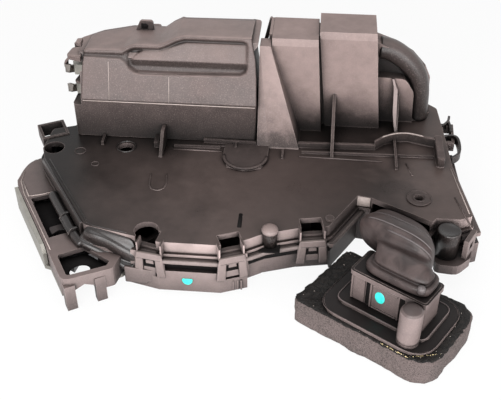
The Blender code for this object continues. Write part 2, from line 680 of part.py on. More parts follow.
def make_base_tray(root):
    front, low_front, right = BOARD[3:12], BOARD[3:8], BOARD[15:19]
    tray = prism(rounded(grown(BOARD, TRAY_WALL / 2)), -TRAY_DEPTH, TRAY_TOP)
    for path, low, high in ((low_front, -TRAY_DEPTH + 0.01, BAND_TOP), (right, -TRAY_DEPTH + 0.01, BAND_TOP),
                            (front, RAISED_FLOOR, TRAY_TOP - 0.01), (right, RAISED_FLOOR, TRAY_TOP - 0.01)):
        tray = join(tray, prism(strip(path, 0.3, TRAY_LIP_OUT), low, high))
    face, low = -TRAY_WALL / 2, -TRAY_DEPTH
    chamfer = [(face - 2, low + TRAY_CHAMFER + 2), (face - 2, low - 1), (face + TRAY_CHAMFER + 1, low - 1)]
    for start, end in zip(BOARD[7:10], BOARD[8:11]):
        run = Vector(end[:2]) - Vector(start[:2])
        turn = math.degrees(math.atan2(run.y, run.x))
        cutter = prism(chamfer, 0.3 if start is BOARD[7] else -1.0, run.length + 1.0, "X")
        tray = cut(tray, moved(cutter, start[0], start[1], 0, turn))
    for (x, y), turn in CLIPS:
        half = CLIP_WIDTH / 2 + 1.2
        slot = box((-half, half), (-TRAY_LIP_OUT - 3, -TRAY_WALL / 2 - 0.01), (-SKIRT_DEPTH - CLIP_HEIGHT, 0))
        tray = cut(tray, moved(slot, x, y, 0, turn))
        tray = join(tray, moved(clip_catch(), x, y, 0, turn))
    zone = [(-14, -22), (20.8, -22), (20.8, -1.8), (26.2, 4.2), (HEAD_WIDTH, 14), (HEAD_WIDTH, 73), (56, 84), (56, 110),
            (-14, 110)]
    zone = [(x, y) for x, y, *_ in grown([(x, y, 0) for x, y in zone], 2 * GAP)]
    wall = [(x, y) for x, y, *_ in grown([(x, y, 0) for x, y in zone], TRAY_FLOOR)]
    inside = prism(rounded(grown(BOARD, -TRAY_WALL / 2)), TRAY_INSIDE, 0)
    deep = cut(inside, prism([head_to_plan(x, y) for x, y in wall], -30, TRAY_TOP - TRAY_FLOOR))
    shallow = prism([head_to_plan(x, y) for x, y in zone], -TRAY_DEPTH - 1, RAISED_FLOOR)
    tray = cut(tray, shallow, deep)
    boot_gap = moved(box((-13.3, 13.3), (-3.6, 3.6), (TRAY_INSIDE, TRAY_TOP + 1)), *BOOT_MOUTH, 0, BOOT_TURN)
    stud_slot = moved(stud_sweep(PAWL_STUD_RADIUS + RUN, RAISED_FLOOR - 1, TRAY_TOP + 1), *HEAD_CORNER, 0, HEAD_ANGLE)
    tray = cut(tray, boot_gap, stud_slot)
    ear = prism(rounded([(76.5, -19, 2), (86, -20, 4), (91.5, -14, 2), (94, -3, 0), (78, -5.8, 0)]), EAR_TOP - 4.5, EAR_TOP)
    buckle = rib((88.6, -14.6), (92.8, -6.6), 2.0, EAR_TOP - 1, EAR_TOP + 9)
    buckle = cut(buckle, rib((90.0, -12.4), (91.6, -9.4), 6.0, EAR_TOP + 3, EAR_TOP + 6))
    boss = cylinder(81.6, -11.8, EAR_TOP - SINK, -COVER_WALL / 2, 4.4, steps=20)
    tray = join(tray, ear, boss, buckle)
    for x, y in ((-58, 75), (72, 75)):
        tray = join(tray, cylinder(x, y, -TRAY_DEPTH - FOOT_HEIGHT, -TRAY_DEPTH + SINK, FOOT_RADIUS, steps=16))
    slide_y = DRIVE_Y - WHEEL_THICK / 2 - 1.7
    for side in (-1, 1):
        edge = slide_y + side * (SLIDER_WIDTH / 2 + RUN)
        rail = box((WHEEL_X - SLIDER_LENGTH / 2 - 2, WHEEL_X + SLIDER_LENGTH / 2 + 2), sorted((edge, edge + side * 1.5)),
                   (TRAY_INSIDE - SINK, TRAY_INSIDE + SLIDER_HEIGHT))
        tray = join(tray, rail)
    for start, end in (((-24, -24), (-24, 76)), ((24, -8), (24, 76)), ((-50, 30), (80, 30)), ((-44, 64), (78, 64))):
        tray = join(tray, rib(start, end, 1.6, -TRAY_DEPTH - 0.9, -TRAY_DEPTH + SINK))
    return finish(tray, "base_tray", "tray_plastic", root)


# Latch head

def mouth_ring(front, half, end):
    """The striker's way in: straight sides and a round end."""
    ring = [(MOUTH_CENTRE - half, front), (MOUTH_CENTRE + half, front)]
    for step in range(7):
        angle = math.pi * step / 6
        ring.append((MOUTH_CENTRE + half * math.cos(angle), end - half + half * math.sin(angle)))
    return ring


def stud_sweep(radius, low, high):
    """The slot that the pawl's stud travels in, as one wide hole."""
    start = Vector(PAWL_STUD)
    end = start.copy()
    end.rotate(Matrix.Rotation(-math.radians(PAWL_LIFT), 2))
    pivot = Vector(PAWL_PIVOT)
    along = (end - start).normalized() * radius
    side = Vector((-along.y, along.x))
    ring = [start - along - side, end + along - side, end + along + side, start - along + side]
    return prism([tuple(pivot + place) for place in ring], low, high)


def make_latch_carrier(head):
    carrier = prism(rounded(HEAD), CARRIER_BOTTOM, CARRIER_TOP)
    carrier = cut(carrier, prism(rounded(grown(HEAD, -CARRIER_WALL)), CARRIER_BOTTOM - 1, ROOF_INSIDE))
    half = MOUTH_WIDTH / 2
    for side in (-1, 1):
        inner = MOUTH_CENTRE + side * (half + 0.01)
        pair = sorted((inner, inner + side * LEG_WIDTH))
        leg = box(pair, (-1.5, LEG_THICK - 1.5), (CARRIER_BOTTOM - LEG_DEPTH, ROOF_INSIDE - 1))
        carrier = join(carrier, leg)
    arch_top = CARRIER_TOP - 4.6
    arch = [(MOUTH_CENTRE - half, CARRIER_BOTTOM - 9), (MOUTH_CENTRE + half, CARRIER_BOTTOM - 9),
            (MOUTH_CENTRE + half, arch_top - 2), (MOUTH_CENTRE, arch_top), (MOUTH_CENTRE - half, arch_top - 2)]
    rear_window = prism(rounded([(2.6, 27.5, 0), (12.6, 27.5, 0), (12.6, 56, 1), (2.6, 57, 1)]), -30, 0)
    front_window = prism(rounded([(2.6, 2.2, 1), (18.6, 1.0, 0), (20.6, 3.0, 0), (14, 15.5, 0), (2.6, 15.5, 1)]), -30, 0)
    carrier = cut(carrier, prism(arch, -6, LEG_THICK + 1, "Y"), rear_window, front_window,
                  stud_sweep(PAWL_STUD_RADIUS + RUN, ROOF_INSIDE - 1, 0))
    return finish(carrier, "latch_carrier", "carrier_plastic", head)


def make_latch_plate(head):
    half = MOUTH_WIDTH / 2
    wide = half + 3.2
    mouth = [(MOUTH_CENTRE + half + 0.4, LEG_THICK), (MOUTH_CENTRE + wide, 9.0), (MOUTH_CENTRE + wide, 19.0),
             (MOUTH_CENTRE + half, 24.0)]
    mouth += mouth_ring(0, half, MOUTH_END)[2:]
    mouth += [(MOUTH_CENTRE - half, LEG_THICK)]
    edge = [(0.0, LEG_THICK), (0.0, 21.0), (-PLATE_FLANGE - GAP, 23.0), (-PLATE_FLANGE - GAP, 68.0), (0.6, 71.5),
            (13.8, HEAD_LENGTH - 0.6), (35.6, HEAD_LENGTH - 0.6), (HEAD_WIDTH - 0.6, 72.6), (HEAD_WIDTH - 0.6, 14.4),
            (25.4, LEG_THICK)]
    plate = prism(mouth + edge, PLATE_FACE, PLATE_TOP)
    flange_top = CARRIER_TOP
    flange = prism(rounded([(22.0, PLATE_FACE + 0.2, 3), (68.0, PLATE_FACE + 0.2, 1), (68.0, flange_top, 0),
                            (22.0, flange_top, 3)]), -PLATE_FLANGE - GAP, -GAP, "X")
    plate = join(plate, flange)
    for (x, y), radius in ((FORK_PIVOT, FORK_PIN), (PAWL_PIVOT, PAWL_PIN)):
        plate = cut(plate, cylinder(x, y, PLATE_FACE - 1, PLATE_TOP + 1, radius + GAP, steps=16),
                    cylinder(x, y, PLATE_FACE - SINK_DEPTH, PLATE_FACE + SINK_DEPTH, radius + GAP + 2 * SINK_OUT,
                             steps=16, tip=radius + GAP))
    for x, y in ((40.0, 18.0), (40.0, 70.0), (6.0, 62.0)):
        plate = cut(plate, cylinder(x, y, PLATE_FACE - 1, PLATE_TOP + 1, 2.6, steps=16, tip=2.6))
    return finish(plate, "latch_plate", "zinc_steel", head)


def make_rivet(head, name, pivot, radius, top):
    x, y = pivot
    profile = [(0.0, top), (radius, top), (radius, PLATE_FACE + SINK_DEPTH),
               (radius + SINK_OUT - GAP, PLATE_FACE + GAP / 2), (0.0, PLATE_FACE + GAP / 2)]
    return finish(moved(turned(profile, 20), x, y), name, "dark_steel", head, (x, y, FORK_BOTTOM), smooth=True)


def polar(radius, degrees):
    return (radius * math.cos(math.radians(degrees)), radius * math.sin(math.radians(degrees)))


def make_fork(head):
    """The rotary fork, drawn open: its slot faces the mouth and turns shut as the striker comes in."""
    slot = 180.0 + FORK_OPEN
    half = MOUTH_WIDTH / 2 + 0.3
    shut = PAWL_NOSE_AT + FORK_OPEN
    halfway = PAWL_NOSE_AT + FORK_OPEN / 2
    spread = math.degrees(math.asin(half / FORK_RADIUS))
    ring = [polar(FORK_RADIUS - 2, slot + spread + 24), polar(FORK_HUB + 1, slot + 62), polar(FORK_HUB, slot + 90)]
    ring += [polar(FORK_HUB, slot + 90 + 20 * k) for k in range(1, 6)]
    ring += [polar(FORK_HUB + 4, PAWL_NOSE_AT - 34), polar(FORK_RADIUS, PAWL_NOSE_AT - 22)]
    ring += [polar(FORK_RADIUS, PAWL_NOSE_AT - 14 + 7 * k) for k in range(5)]
    for notch in (halfway, shut):
        ring += [polar(FORK_RADIUS, notch - 9), polar(FORK_RADIUS - 3.4, notch + 1.5), polar(FORK_RADIUS, notch + 3.5)]
    ring += [polar(FORK_RADIUS, shut + 10 + 8 * k) for k in range(4)]
    arm = Vector(polar(1, slot))
    side = Vector((arm.y, -arm.x))
    reach = math.sqrt(FORK_RADIUS ** 2 - half ** 2)
    bottom = 12.0
    ring.append(tuple(arm * reach + side * half))
    for k in range(5):
        angle = math.pi * k / 4
        ring.append(tuple(arm * (bottom + half - half * math.sin(angle)) + side * half * math.cos(angle)))
    ring.append(tuple(arm * (reach - 0.6) - side * half))
    ring.append(polar(FORK_RADIUS - 0.6, slot + spread + 8))
    fork = prism(ring[::-1], FORK_BOTTOM, FORK_TOP)
    fork = cut(fork, cylinder(0, 0, FORK_BOTTOM - 1, FORK_TOP + 1, FORK_PIN + GAP, steps=20))
    return finish(moved(fork, *FORK_PIVOT), "fork_bolt", "dark_steel", head, (*FORK_PIVOT, FORK_BOTTOM))


def make_pawl(head):
    """The pawl with the stud that the release lever pushes."""
    nose = Vector(polar(FORK_RADIUS, PAWL_NOSE_AT)) + Vector(FORK_PIVOT) - Vector(PAWL_PIVOT)
    stud = Vector(PAWL_STUD)
    body = rib((0, 0), tuple(nose), 7.0, FORK_BOTTOM, FORK_TOP)
    fork_centre = Vector(FORK_PIVOT) - Vector(PAWL_PIVOT)
    body = cut(body, cylinder(*fork_centre, FORK_BOTTOM - 1, FORK_TOP + 1, FORK_RADIUS + GAP, steps=72))
    tail = rib((0, 0), tuple(stud), 2 * PAWL_STUD_RADIUS + 2.0, FORK_BOTTOM + 0.01, FORK_TOP - 0.01)
    eye = cylinder(stud.x, stud.y, FORK_BOTTOM + 0.02, FORK_TOP - 0.02, PAWL_STUD_RADIUS + 1.0, steps=14)
    post = cylinder(stud.x, stud.y, FORK_BOTTOM + 1, -COVER_WALL - 2 * GAP, PAWL_STUD_RADIUS, steps=14)
    round_hub = cylinder(0, 0, FORK_BOTTOM + 0.03, FORK_TOP - 0.03, PAWL_HUB, steps=20)
    pawl = join(body, round_hub, tail, eye, post)
    pawl = cut(pawl, cylinder(0, 0, FORK_BOTTOM - 1, FORK_TOP + 1, PAWL_PIN + GAP, steps=16))
    return finish(moved(pawl, *PAWL_PIVOT), "pawl", "dark_steel", head, (*PAWL_PIVOT, FORK_BOTTOM))


def make_spring(head, name, pivot, pin, legs):
    """A torsion spring round a rivet, with its two legs."""
    radius = pin + SPRING_WIRE / 2 + RUN
    low = FORK_TOP + GAP + SPRING_WIRE / 2
    pitch = SPRING_WIRE + 0.15
    count = 10
    turns = [(pivot[0] + radius * math.cos(math.tau * k / count + math.radians(legs[0])),
              pivot[1] + radius * math.sin(math.tau * k / count + math.radians(legs[0])), low + pitch * k / count)
             for k in range(int(SPRING_TURNS * count) + 1)]
    first, last = Vector(turns[0]), Vector(turns[-1])
    into = (first - Vector(turns[1])).normalized()
    away = (last - Vector(turns[-2])).normalized()
    into.z = away.z = 0.0
    points = [tuple(first + into * legs[1]), *turns, tuple(last + away * legs[1])]
    return finish(tube(points, SPRING_WIRE / 2, 1), name, "spring_steel", head, smooth=True)


def make_bumper(head):
    low = FORK_TOP + GAP
    half = MOUTH_WIDTH / 2 - 0.3
    ring = [(MOUTH_CENTRE - half, MOUTH_END - 1, 0), (MOUTH_CENTRE, MOUTH_END + 0.6, 3), (MOUTH_CENTRE + half, MOUTH_END - 1, 0),
            (MOUTH_CENTRE + half, MOUTH_END + 4, 1), (MOUTH_CENTRE - half, MOUTH_END + 4, 1)]
    return finish(prism(rounded(ring), low, ROOF_INSIDE - GAP), "striker_bumper", "rubber", head)


# Lock drive

def make_motor(root):
    motor = cylinder(DRIVE_Y, MOTOR_Z, MOTOR_LEFT, MOTOR_LEFT + MOTOR_LENGTH, MOTOR_RADIUS, "X", 28)
    half = MOTOR_FLAT / 2
    for side in (-1, 1):
        pair = sorted((DRIVE_Y + side * half, DRIVE_Y + side * (half + 10)))
        motor = cut(motor, box((MOTOR_LEFT - 1, MOTOR_LEFT + MOTOR_LENGTH + 1), pair, (MOTOR_Z - 15, MOTOR_Z + 15)))
    boss = cylinder(DRIVE_Y, MOTOR_Z, MOTOR_LEFT - 1.6, MOTOR_LEFT + 1, 3.5, "X", 16)
    nose = cylinder(DRIVE_Y, MOTOR_Z, MOTOR_LEFT + MOTOR_LENGTH - 1, MOTOR_LEFT + MOTOR_LENGTH + 1.4, 3.5, "X", 16)
    return finish(join(motor, boss, nose), "motor_body", "motor_steel", root, smooth=True)


def make_worm(root):
    """The worm on the motor's shaft; its thread is a square wire wound on the core."""
    start = MOTOR_LEFT + MOTOR_LENGTH + 1.4 + GAP
    shaft = cylinder(DRIVE_Y, MOTOR_Z, start, WORM_LEFT + WORM_LENGTH + 2, 1.2, "X", 12)
    core = cylinder(DRIVE_Y, MOTOR_Z, WORM_LEFT, WORM_LEFT + WORM_LENGTH, WORM_CORE, "X", 16)
    turns = (WORM_LENGTH - 3) / WORM_PITCH
    reach = WORM_OUTER - WORM_THREAD
    points = []
    for k in range(int(turns * 8) + 1):
        angle = math.tau * k / 8
        points.append((WORM_LEFT + 1.5 + WORM_PITCH * k / 8, DRIVE_Y + reach * math.cos(angle),
                       MOTOR_Z + reach * math.sin(angle)))
    worm = join(core, shaft, tube(points, WORM_THREAD, 0))
    return finish(worm, "motor_worm", "brass", root, (WORM_LEFT, DRIVE_Y, MOTOR_Z))


def make_wheel(root):
    ring = []
    pitch = math.tau / WHEEL_TEETH
    for tooth in range(WHEEL_TEETH):
        for share, radius in ((0.0, WHEEL_RADIUS - 1.6), (0.28, WHEEL_RADIUS - 1.6), (0.42, WHEEL_RADIUS),
                              (0.86, WHEEL_RADIUS)):
            angle = (tooth + share) * pitch
            ring.append((WHEEL_X + radius * math.cos(angle), WHEEL_Z + radius * math.sin(angle)))
    half = WHEEL_THICK / 2
    wheel = prism(ring, DRIVE_Y - half, DRIVE_Y + half, "Y")
    for side in (-1, 1):
        pair = sorted((DRIVE_Y + side * half * 0.45, DRIVE_Y + side * (half + 1)))
        dish = cylinder(WHEEL_X, WHEEL_Z, pair[0], pair[1], WHEEL_RADIUS - 2.8, "Y", 20)
        hub = cylinder(WHEEL_X, WHEEL_Z, pair[0] - 1, pair[1] + 1, AXLE_RADIUS + 2.2, "Y", 16)
        wheel = cut(wheel, cut(dish, hub))
    crank = cylinder(WHEEL_X, WHEEL_Z - CRANK_REACH, DRIVE_Y - half - 3.0, DRIVE_Y, CRANK_RADIUS, "Y", 12)
    wheel = join(wheel, crank)
    wheel = cut(wheel, cylinder(WHEEL_X, WHEEL_Z, DRIVE_Y - 9, DRIVE_Y + 9, AXLE_RADIUS + GAP, "Y", 16))
    return finish(wheel, "worm_wheel", "gear_plastic", root, (WHEEL_X, DRIVE_Y, WHEEL_Z))


def make_axle(root):
    reach = WHEEL_THICK / 2 + 5.9
    axle = cylinder(WHEEL_X, WHEEL_Z, DRIVE_Y - reach, DRIVE_Y + reach, AXLE_RADIUS, "Y", 16)
    return finish(axle, "wheel_axle", "dark_steel", root, smooth=True)


def make_slider(root):
    """The locking slide; its two prongs take the wheel's crank pin."""
    low = TRAY_INSIDE + GAP
    y = DRIVE_Y - WHEEL_THICK / 2 - 1.7
    bar = box((WHEEL_X - SLIDER_LENGTH / 2, WHEEL_X + SLIDER_LENGTH / 2), (y - SLIDER_WIDTH / 2, y + SLIDER_WIDTH / 2),
              (low, low + SLIDER_HEIGHT))
    prongs = []
    for side in (-1, 1):
        pair = sorted((WHEEL_X + side * (CRANK_RADIUS + RUN), WHEEL_X + side * (CRANK_RADIUS + RUN + 2.4)))
        prongs.append(box(pair, (y - 1.2, y + 1.2), (low + 1, WHEEL_Z - CRANK_REACH + CRANK_RADIUS + 2.2)))
    slot = box((WHEEL_X - SLIDER_LENGTH / 2 + 3, WHEEL_X - SLIDER_LENGTH / 2 + 9), (y - 1.2, y + 1.2), (low - 1, low + 9))
    slider = cut(join(bar, *prongs), slot)
    return finish(slider, "lock_slider", "gear_plastic", root, (WHEEL_X, y, low))


# Release levers

def hook_arm(low, high):
    """The arm whose hooked end takes a cable, pointing left from the pin."""
    ring = [(0, -2.2), (0, 2.2), (-HOOK_REACH + 3, 2.0), (-HOOK_REACH + 2.4, 4.6), (-HOOK_REACH, 4.6),
            (-HOOK_REACH - 0.6, 1.0), (-HOOK_REACH + 0.6, -2.0)]
    return prism(ring[::-1], low, high)


def make_outside_lever(root):
    low = RAISED_FLOOR + TRAY_LIP_HEIGHT + GAP
    arm_top = low + LEVER_THICK
    hub = cylinder(0, 0, low, LEVER_SPLIT, LEVER_HUB, steps=18)
    hook = hook_arm(LEVER_SPLIT - HOOK_HEIGHT, LEVER_SPLIT - 0.01)
    pivot = plan_to_head(*LEVER_PIVOT)
    stud = Vector(PAWL_PIVOT) + Vector(PAWL_STUD) - Vector(pivot)
    arm_way = stud.normalized()
    swing = Vector((-arm_way.y, arm_way.x))
    clear = PAWL_STUD_RADIUS + STUD_SLACK + ARM_WIDTH / 2
    tip = stud + arm_way * 2.5 - swing * clear * (stud.length + 2.5) / math.sqrt(stud.length_squared - clear ** 2)
    arm = moved(rib((0, 0), tuple(tip), ARM_WIDTH, low, arm_top), turn=HEAD_ANGLE)
    lever = join(hub, hook, arm)
    lever = cut(lever, cylinder(0, 0, low - 1, LEVER_SPLIT + 1, LEVER_PIN + GAP, steps=16))
    return finish(moved(lever, *LEVER_PIVOT), "outside_release_lever", "zinc_steel", root, (*LEVER_PIVOT, low))


def make_inside_lever(root):
    low = LEVER_SPLIT + GAP
    hub = cylinder(0, 0, low, LEVER_TOP, LEVER_HUB, steps=18)
    hook = hook_arm(LEVER_TOP - HOOK_HEIGHT, LEVER_TOP - 0.01)
    lever = join(hub, hook)
    lever = cut(lever, cylinder(0, 0, low - 1, LEVER_TOP + 1, LEVER_PIN + GAP, steps=16))
    return finish(moved(lever, *LEVER_PIVOT), "inside_release_lever", "zinc_steel", root, (*LEVER_PIVOT, low))


def make_lever_pin(root):
    low = RAISED_FLOOR + TRAY_LIP_HEIGHT + GAP
    pin = cylinder(*LEVER_PIVOT, low, LEVER_TOP + 2.0, LEVER_PIN, steps=16)
    return finish(pin, "lever_pin", "dark_steel", root, smooth=True)


# Connector

def make_connector(plug):
    flange = prism(rounded([(-18.0, -17.0, 9), (29.5, -17.0, 10), (29.5, 16.0, 9), (-18.0, 16.0, 6)], 4),
                   SEAL_TOP + GAP, SEAL_TOP + GAP + FLANGE_THICK)
    top = SEAL_TOP + GAP + FLANGE_THICK
    tier = prism(rounded([(-13.5, -10.5, 4), (25.3, -10.5, 4), (25.3, 12.5, 4), (-13.5, 12.5, 4)]), top - SINK,
                 top + TIER_THICK)
    u, v = BODY_U, BODY_V
    body = prism(rounded([(u[0], v[0], 1), (u[1], v[0], 1), (u[1], v[1], 1), (u[0], v[1], 1)], 2), top - SINK, BODY_TOP)
    collar = prism(rounded([(u[0] - 0.8, v[0] - 0.8, 1.5), (u[1] + 0.8, v[0] - 0.8, 1.5), (u[1] + 0.8, v[1] + 0.8, 1.5),
                            (u[0] - 0.8, v[1] + 0.8, 1.5)], 2), BODY_TOP - 2.2, BODY_TOP - 0.2)
    peg = cylinder(*PEG_PLACE, top - SINK, BODY_TOP - 0.8, PEG_RADIUS, steps=20)
    dome = cylinder(*PEG_PLACE, BODY_TOP - 0.81, BODY_TOP + 0.4, PEG_RADIUS - 0.01, steps=20, tip=PEG_RADIUS - 1.2)
    shroud = prism(rounded([(u[0], v[0], 1), (u[1], v[0], 1), (u[1], v[1], 1), (u[0], v[1], 1)], 2),
                   SEAL_BOTTOM + 0.5, SEAL_TOP + GAP + SINK)
    shell = join(flange, tier, body, collar, peg, dome, shroud)
    shell = cut(shell, box((u[0] + SOCKET_WALL, u[1] - SOCKET_WALL), (v[0] + SOCKET_WALL, v[1] - SOCKET_WALL),
                           (SEAL_BOTTOM - 2, SOCKET_ROOF)))
    for groove in (-2.4, 12.4):
        shell = cut(shell, box((groove, groove + 1.5), (v[0] - 0.5, v[0] + 1.1), (top + TIER_THICK + 0.3, BODY_TOP - 2.21)))
    shell = cut(shell, box((u[1] - 4.4, u[1] - 1.6), (v[0] - 0.5, v[0] + 1.1), (top + TIER_THICK + 0.3, BODY_TOP - 2.21)))
    return finish(shell, "connector_housing", "connector_plastic", plug)


def make_seal(plug):
    ring = rounded([(-27.6, -19, 3), (33.7, -19, 12), (33.7, 20, 10), (-26, 19, 3)], 4)
    u, v = BODY_U, BODY_V
    hole = [(u[0] - GAP, v[0] - GAP), (u[1] + GAP, v[0] - GAP), (u[1] + GAP, v[1] + GAP), (u[0] - GAP, v[1] + GAP)]
    return finish(prism(ring, SEAL_BOTTOM, SEAL_TOP, holes=[hole]), "connector_seal", "foam", plug)


def make_contacts(plug):
    first = (BODY_U[0] + BODY_U[1]) / 2 - PIN_PITCH
    middle = (BODY_V[0] + BODY_V[1]) / 2
    for row in range(2):
        for column in range(3):
            u, v = first + column * PIN_PITCH, middle + (row - 0.5) * PIN_PITCH
            top = SOCKET_ROOF - GAP
            pin = box((u - PIN_SIDE / 2, u + PIN_SIDE / 2), (v - PIN_SIDE / 2, v + PIN_SIDE / 2), (top - PIN_LENGTH, top))
            finish(pin, f"contact_pin_{row * 3 + column + 1}", "brass", plug)


def boot_section(centre, half_long, half_short, tilt, turn, square):
    """One closed ring of the boot: a rounded oblong, tilted back from level."""
    ring = []
    long_way = Vector((math.cos(math.radians(turn)), math.sin(math.radians(turn)), 0.0))
    back = Vector((-long_way.y, long_way.x, 0.0))
    short_way = back * math.cos(math.radians(tilt)) - Vector((0, 0, 1)) * math.sin(math.radians(tilt))
    for step in range(BOOT_SECTION):
        angle = math.tau * step / BOOT_SECTION
        across = math.copysign(abs(math.cos(angle)) ** square, math.cos(angle))
        deep = math.copysign(abs(math.sin(angle)) ** square, math.sin(angle))
        ring.append(Vector(centre) + long_way * across * half_long + short_way * deep * half_short)
    return ring


def make_boot(root):
    """The rubber elbow that carries the wires from the connector into the housing."""
    low = BODY_TOP + GAP
    turn = CONNECTOR_ANGLE
    sections = [((59.3, -45.6, low), 13.6, 6.6, 0), ((59.3, -45.6, low + 0.6), 14.6, 7.4, 0),
                ((59.3, -45.6, low + 3.2), 14.6, 7.4, 0), ((59.3, -45.6, low + 3.9), 13.2, 6.2, 0),
                ((59.5, -44.6, low + 5.4), 12.8, 5.8, 12), ((60.2, -40.4, low + 6.6), 12.4, 5.4, 44),
                ((60.8, -33.4, low + 5.4), 12.2, 5.4, 72), ((61.2, -27.6, low + 2.6), 12.8, 6.6, 88),
                ((61.4, -21.4, low - 0.6), 13.4, 7.6, 104), ((61.8, -14.0, low - 6.0), 13.0, 6.8, 116),
                ((62.6, -6.0, low - 12.0), 12.2, 6.2, 110), ((63.6, 2.0, low - 14.8), 11.8, 5.8, 98),
                ((65.0, 9.0, low - 15.4), 11.4, 5.4, 92)]
    rings = [boot_section(centre, long_half, short_half, tilt, turn, 0.62)
             for centre, long_half, short_half, tilt in sections]
    return finish(loft(rings), "cable_boot", "rubber", root, smooth=True)


# Circuit carrier and switch

def make_lead_frame(root):
    low = TRAY_INSIDE + GAP
    ring = [(-6, -20, 2), (16, -13, 2), (38, -2, 2), (40, 20, 2), (76, 14, 3), (78, 36, 3), (30, 40, 3), (-6, 34, 3)]
    plate = prism(rounded(ring), low, low + 1.6)
    posts = [cylinder(x, y, low + 0.8, low + 5.0, 1.6, steps=12) for x, y in ((2, 28), (30, 30), (70, 28))]
    return finish(join(plate, *posts), "lead_frame", "tray_plastic", root)


def make_switch(root):
    low = TRAY_INSIDE + GAP + 1.6 + GAP
    case = box((6, 26), (0, 6.5), (low, low + 10))
    case = cut(case, box((19.9, 22.1), (1.9, 4.6), (low + 8, low + 12)))
    finish(case, "lock_switch", "tray_plastic", root)
    button = box((20.2, 21.8), (2.2, 4.3), (low + 8 + 1.2, low + 11.4))
    finish(button, "switch_plunger", "gear_plastic", root, (21.0, 3.25, low + 10))


clear_scene()
LOCK = bpy.data.collections.new("car_door_lock")
bpy.context.scene.collection.children.link(LOCK)
MATERIALS = {name: make_material(name) for name in PALETTE}
DATUM = (*head_to_plan(36.0, 60.0), PLATE_FACE)
ROOT = empty("lock_frame", [-value for value in DATUM])
HEAD_FRAME = empty("latch_head_frame", (*HEAD_CORNER, 0.0), HEAD_ANGLE, ROOT)
PLUG_FRAME = empty("connector_frame", (*CONNECTOR_CENTRE, 0.0), CONNECTOR_ANGLE, ROOT)

make_top_cover(ROOT)
make_motor_cover(ROOT)
make_base_tray(ROOT)
make_latch_carrier(HEAD_FRAME)
make_latch_plate(HEAD_FRAME)
make_rivet(HEAD_FRAME, "fork_rivet", FORK_PIVOT, FORK_PIN, ROOF_INSIDE - GAP)
make_rivet(HEAD_FRAME, "pawl_rivet", PAWL_PIVOT, PAWL_PIN, ROOF_INSIDE - GAP)
make_fork(HEAD_FRAME)
make_pawl(HEAD_FRAME)
make_spring(HEAD_FRAME, "fork_spring", FORK_PIVOT, FORK_PIN, (20.0, 9.0))
make_spring(HEAD_FRAME, "pawl_spring", PAWL_PIVOT, PAWL_PIN, (200.0, 7.0))
make_bumper(HEAD_FRAME)
make_motor(ROOT)
make_worm(ROOT)
make_wheel(ROOT)
make_axle(ROOT)
make_slider(ROOT)
make_outside_lever(ROOT)
make_inside_lever(ROOT)
make_lever_pin(ROOT)
make_connector(PLUG_FRAME)
make_seal(PLUG_FRAME)
make_contacts(PLUG_FRAME)
make_boot(ROOT)
make_lead_frame(ROOT)
make_switch(ROOT)
bpy.context.view_layer.update()
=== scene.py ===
# %% [markdown]
# # A car door lock, dressed for a studio picture
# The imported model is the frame: its solids stay where they are and get softened edges and real finishes.
# Small forms that moulded plastic has everywhere, such as lips, outlines, hooks and beads, are added on top.
# All places are given in millimetres in the plan of the housing, as the part's own source gives them.

# %% Load the frame
import json
import math
import random
import bpy
import bmesh
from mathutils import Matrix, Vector, noise


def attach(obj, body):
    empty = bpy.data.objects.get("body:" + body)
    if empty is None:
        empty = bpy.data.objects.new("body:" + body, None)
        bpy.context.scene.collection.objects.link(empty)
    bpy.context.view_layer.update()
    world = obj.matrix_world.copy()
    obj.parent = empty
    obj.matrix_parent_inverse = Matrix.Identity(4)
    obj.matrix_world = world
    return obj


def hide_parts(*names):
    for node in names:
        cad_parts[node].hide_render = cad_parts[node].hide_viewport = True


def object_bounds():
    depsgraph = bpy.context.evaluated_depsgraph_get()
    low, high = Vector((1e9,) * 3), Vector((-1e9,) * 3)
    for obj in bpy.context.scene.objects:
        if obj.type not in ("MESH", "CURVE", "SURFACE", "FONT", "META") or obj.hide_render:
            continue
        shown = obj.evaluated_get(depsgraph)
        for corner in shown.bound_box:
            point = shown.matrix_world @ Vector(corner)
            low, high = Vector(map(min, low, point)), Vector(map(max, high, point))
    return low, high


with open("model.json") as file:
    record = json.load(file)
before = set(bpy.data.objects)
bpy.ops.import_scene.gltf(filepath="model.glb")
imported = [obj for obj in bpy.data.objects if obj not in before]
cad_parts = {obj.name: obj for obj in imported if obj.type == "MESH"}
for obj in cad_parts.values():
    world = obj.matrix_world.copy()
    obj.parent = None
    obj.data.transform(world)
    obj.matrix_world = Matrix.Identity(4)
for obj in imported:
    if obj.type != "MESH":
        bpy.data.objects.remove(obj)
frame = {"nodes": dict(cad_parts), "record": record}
NODES = frame["nodes"]
CAD_LOW, CAD_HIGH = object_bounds()
print("solids:", len(NODES), "box:", CAD_LOW, CAD_HIGH)

# %% [markdown]
# ## Three rulers
# The housing, the latch head and the connector stand at different angles. Each has its own ruler here,
# a function that turns its millimetres into a place in the model, so that every piece can be written straight.

# %% Places in the plan, on the latch head and on the connector
MM = 0.001
DATUM = Vector((-69.844, 23.471, -20.2))
HEAD_CORNER, HEAD_TURN = Vector((-69.8, -46.5)), math.radians(31.0)
PLUG_CENTRE, PLUG_TURN = Vector((53.0, -43.0)), math.radians(-33.0)


def plan(x, y, z):
    return (Vector((x, y, z)) - DATUM) * MM


def turned_place(corner, turn, x, y, z):
    return plan(corner.x + x * math.cos(turn) - y * math.sin(turn),
                corner.y + x * math.sin(turn) + y * math.cos(turn), z)


def head(x, y, z):
    return turned_place(HEAD_CORNER, HEAD_TURN, x, y, z)


def plug(x, y, z):
    return turned_place(PLUG_CENTRE, PLUG_TURN, x, y, z)


print("latch head corner:", head(0, 0, 0), "connector:", plug(0, 0, 0))

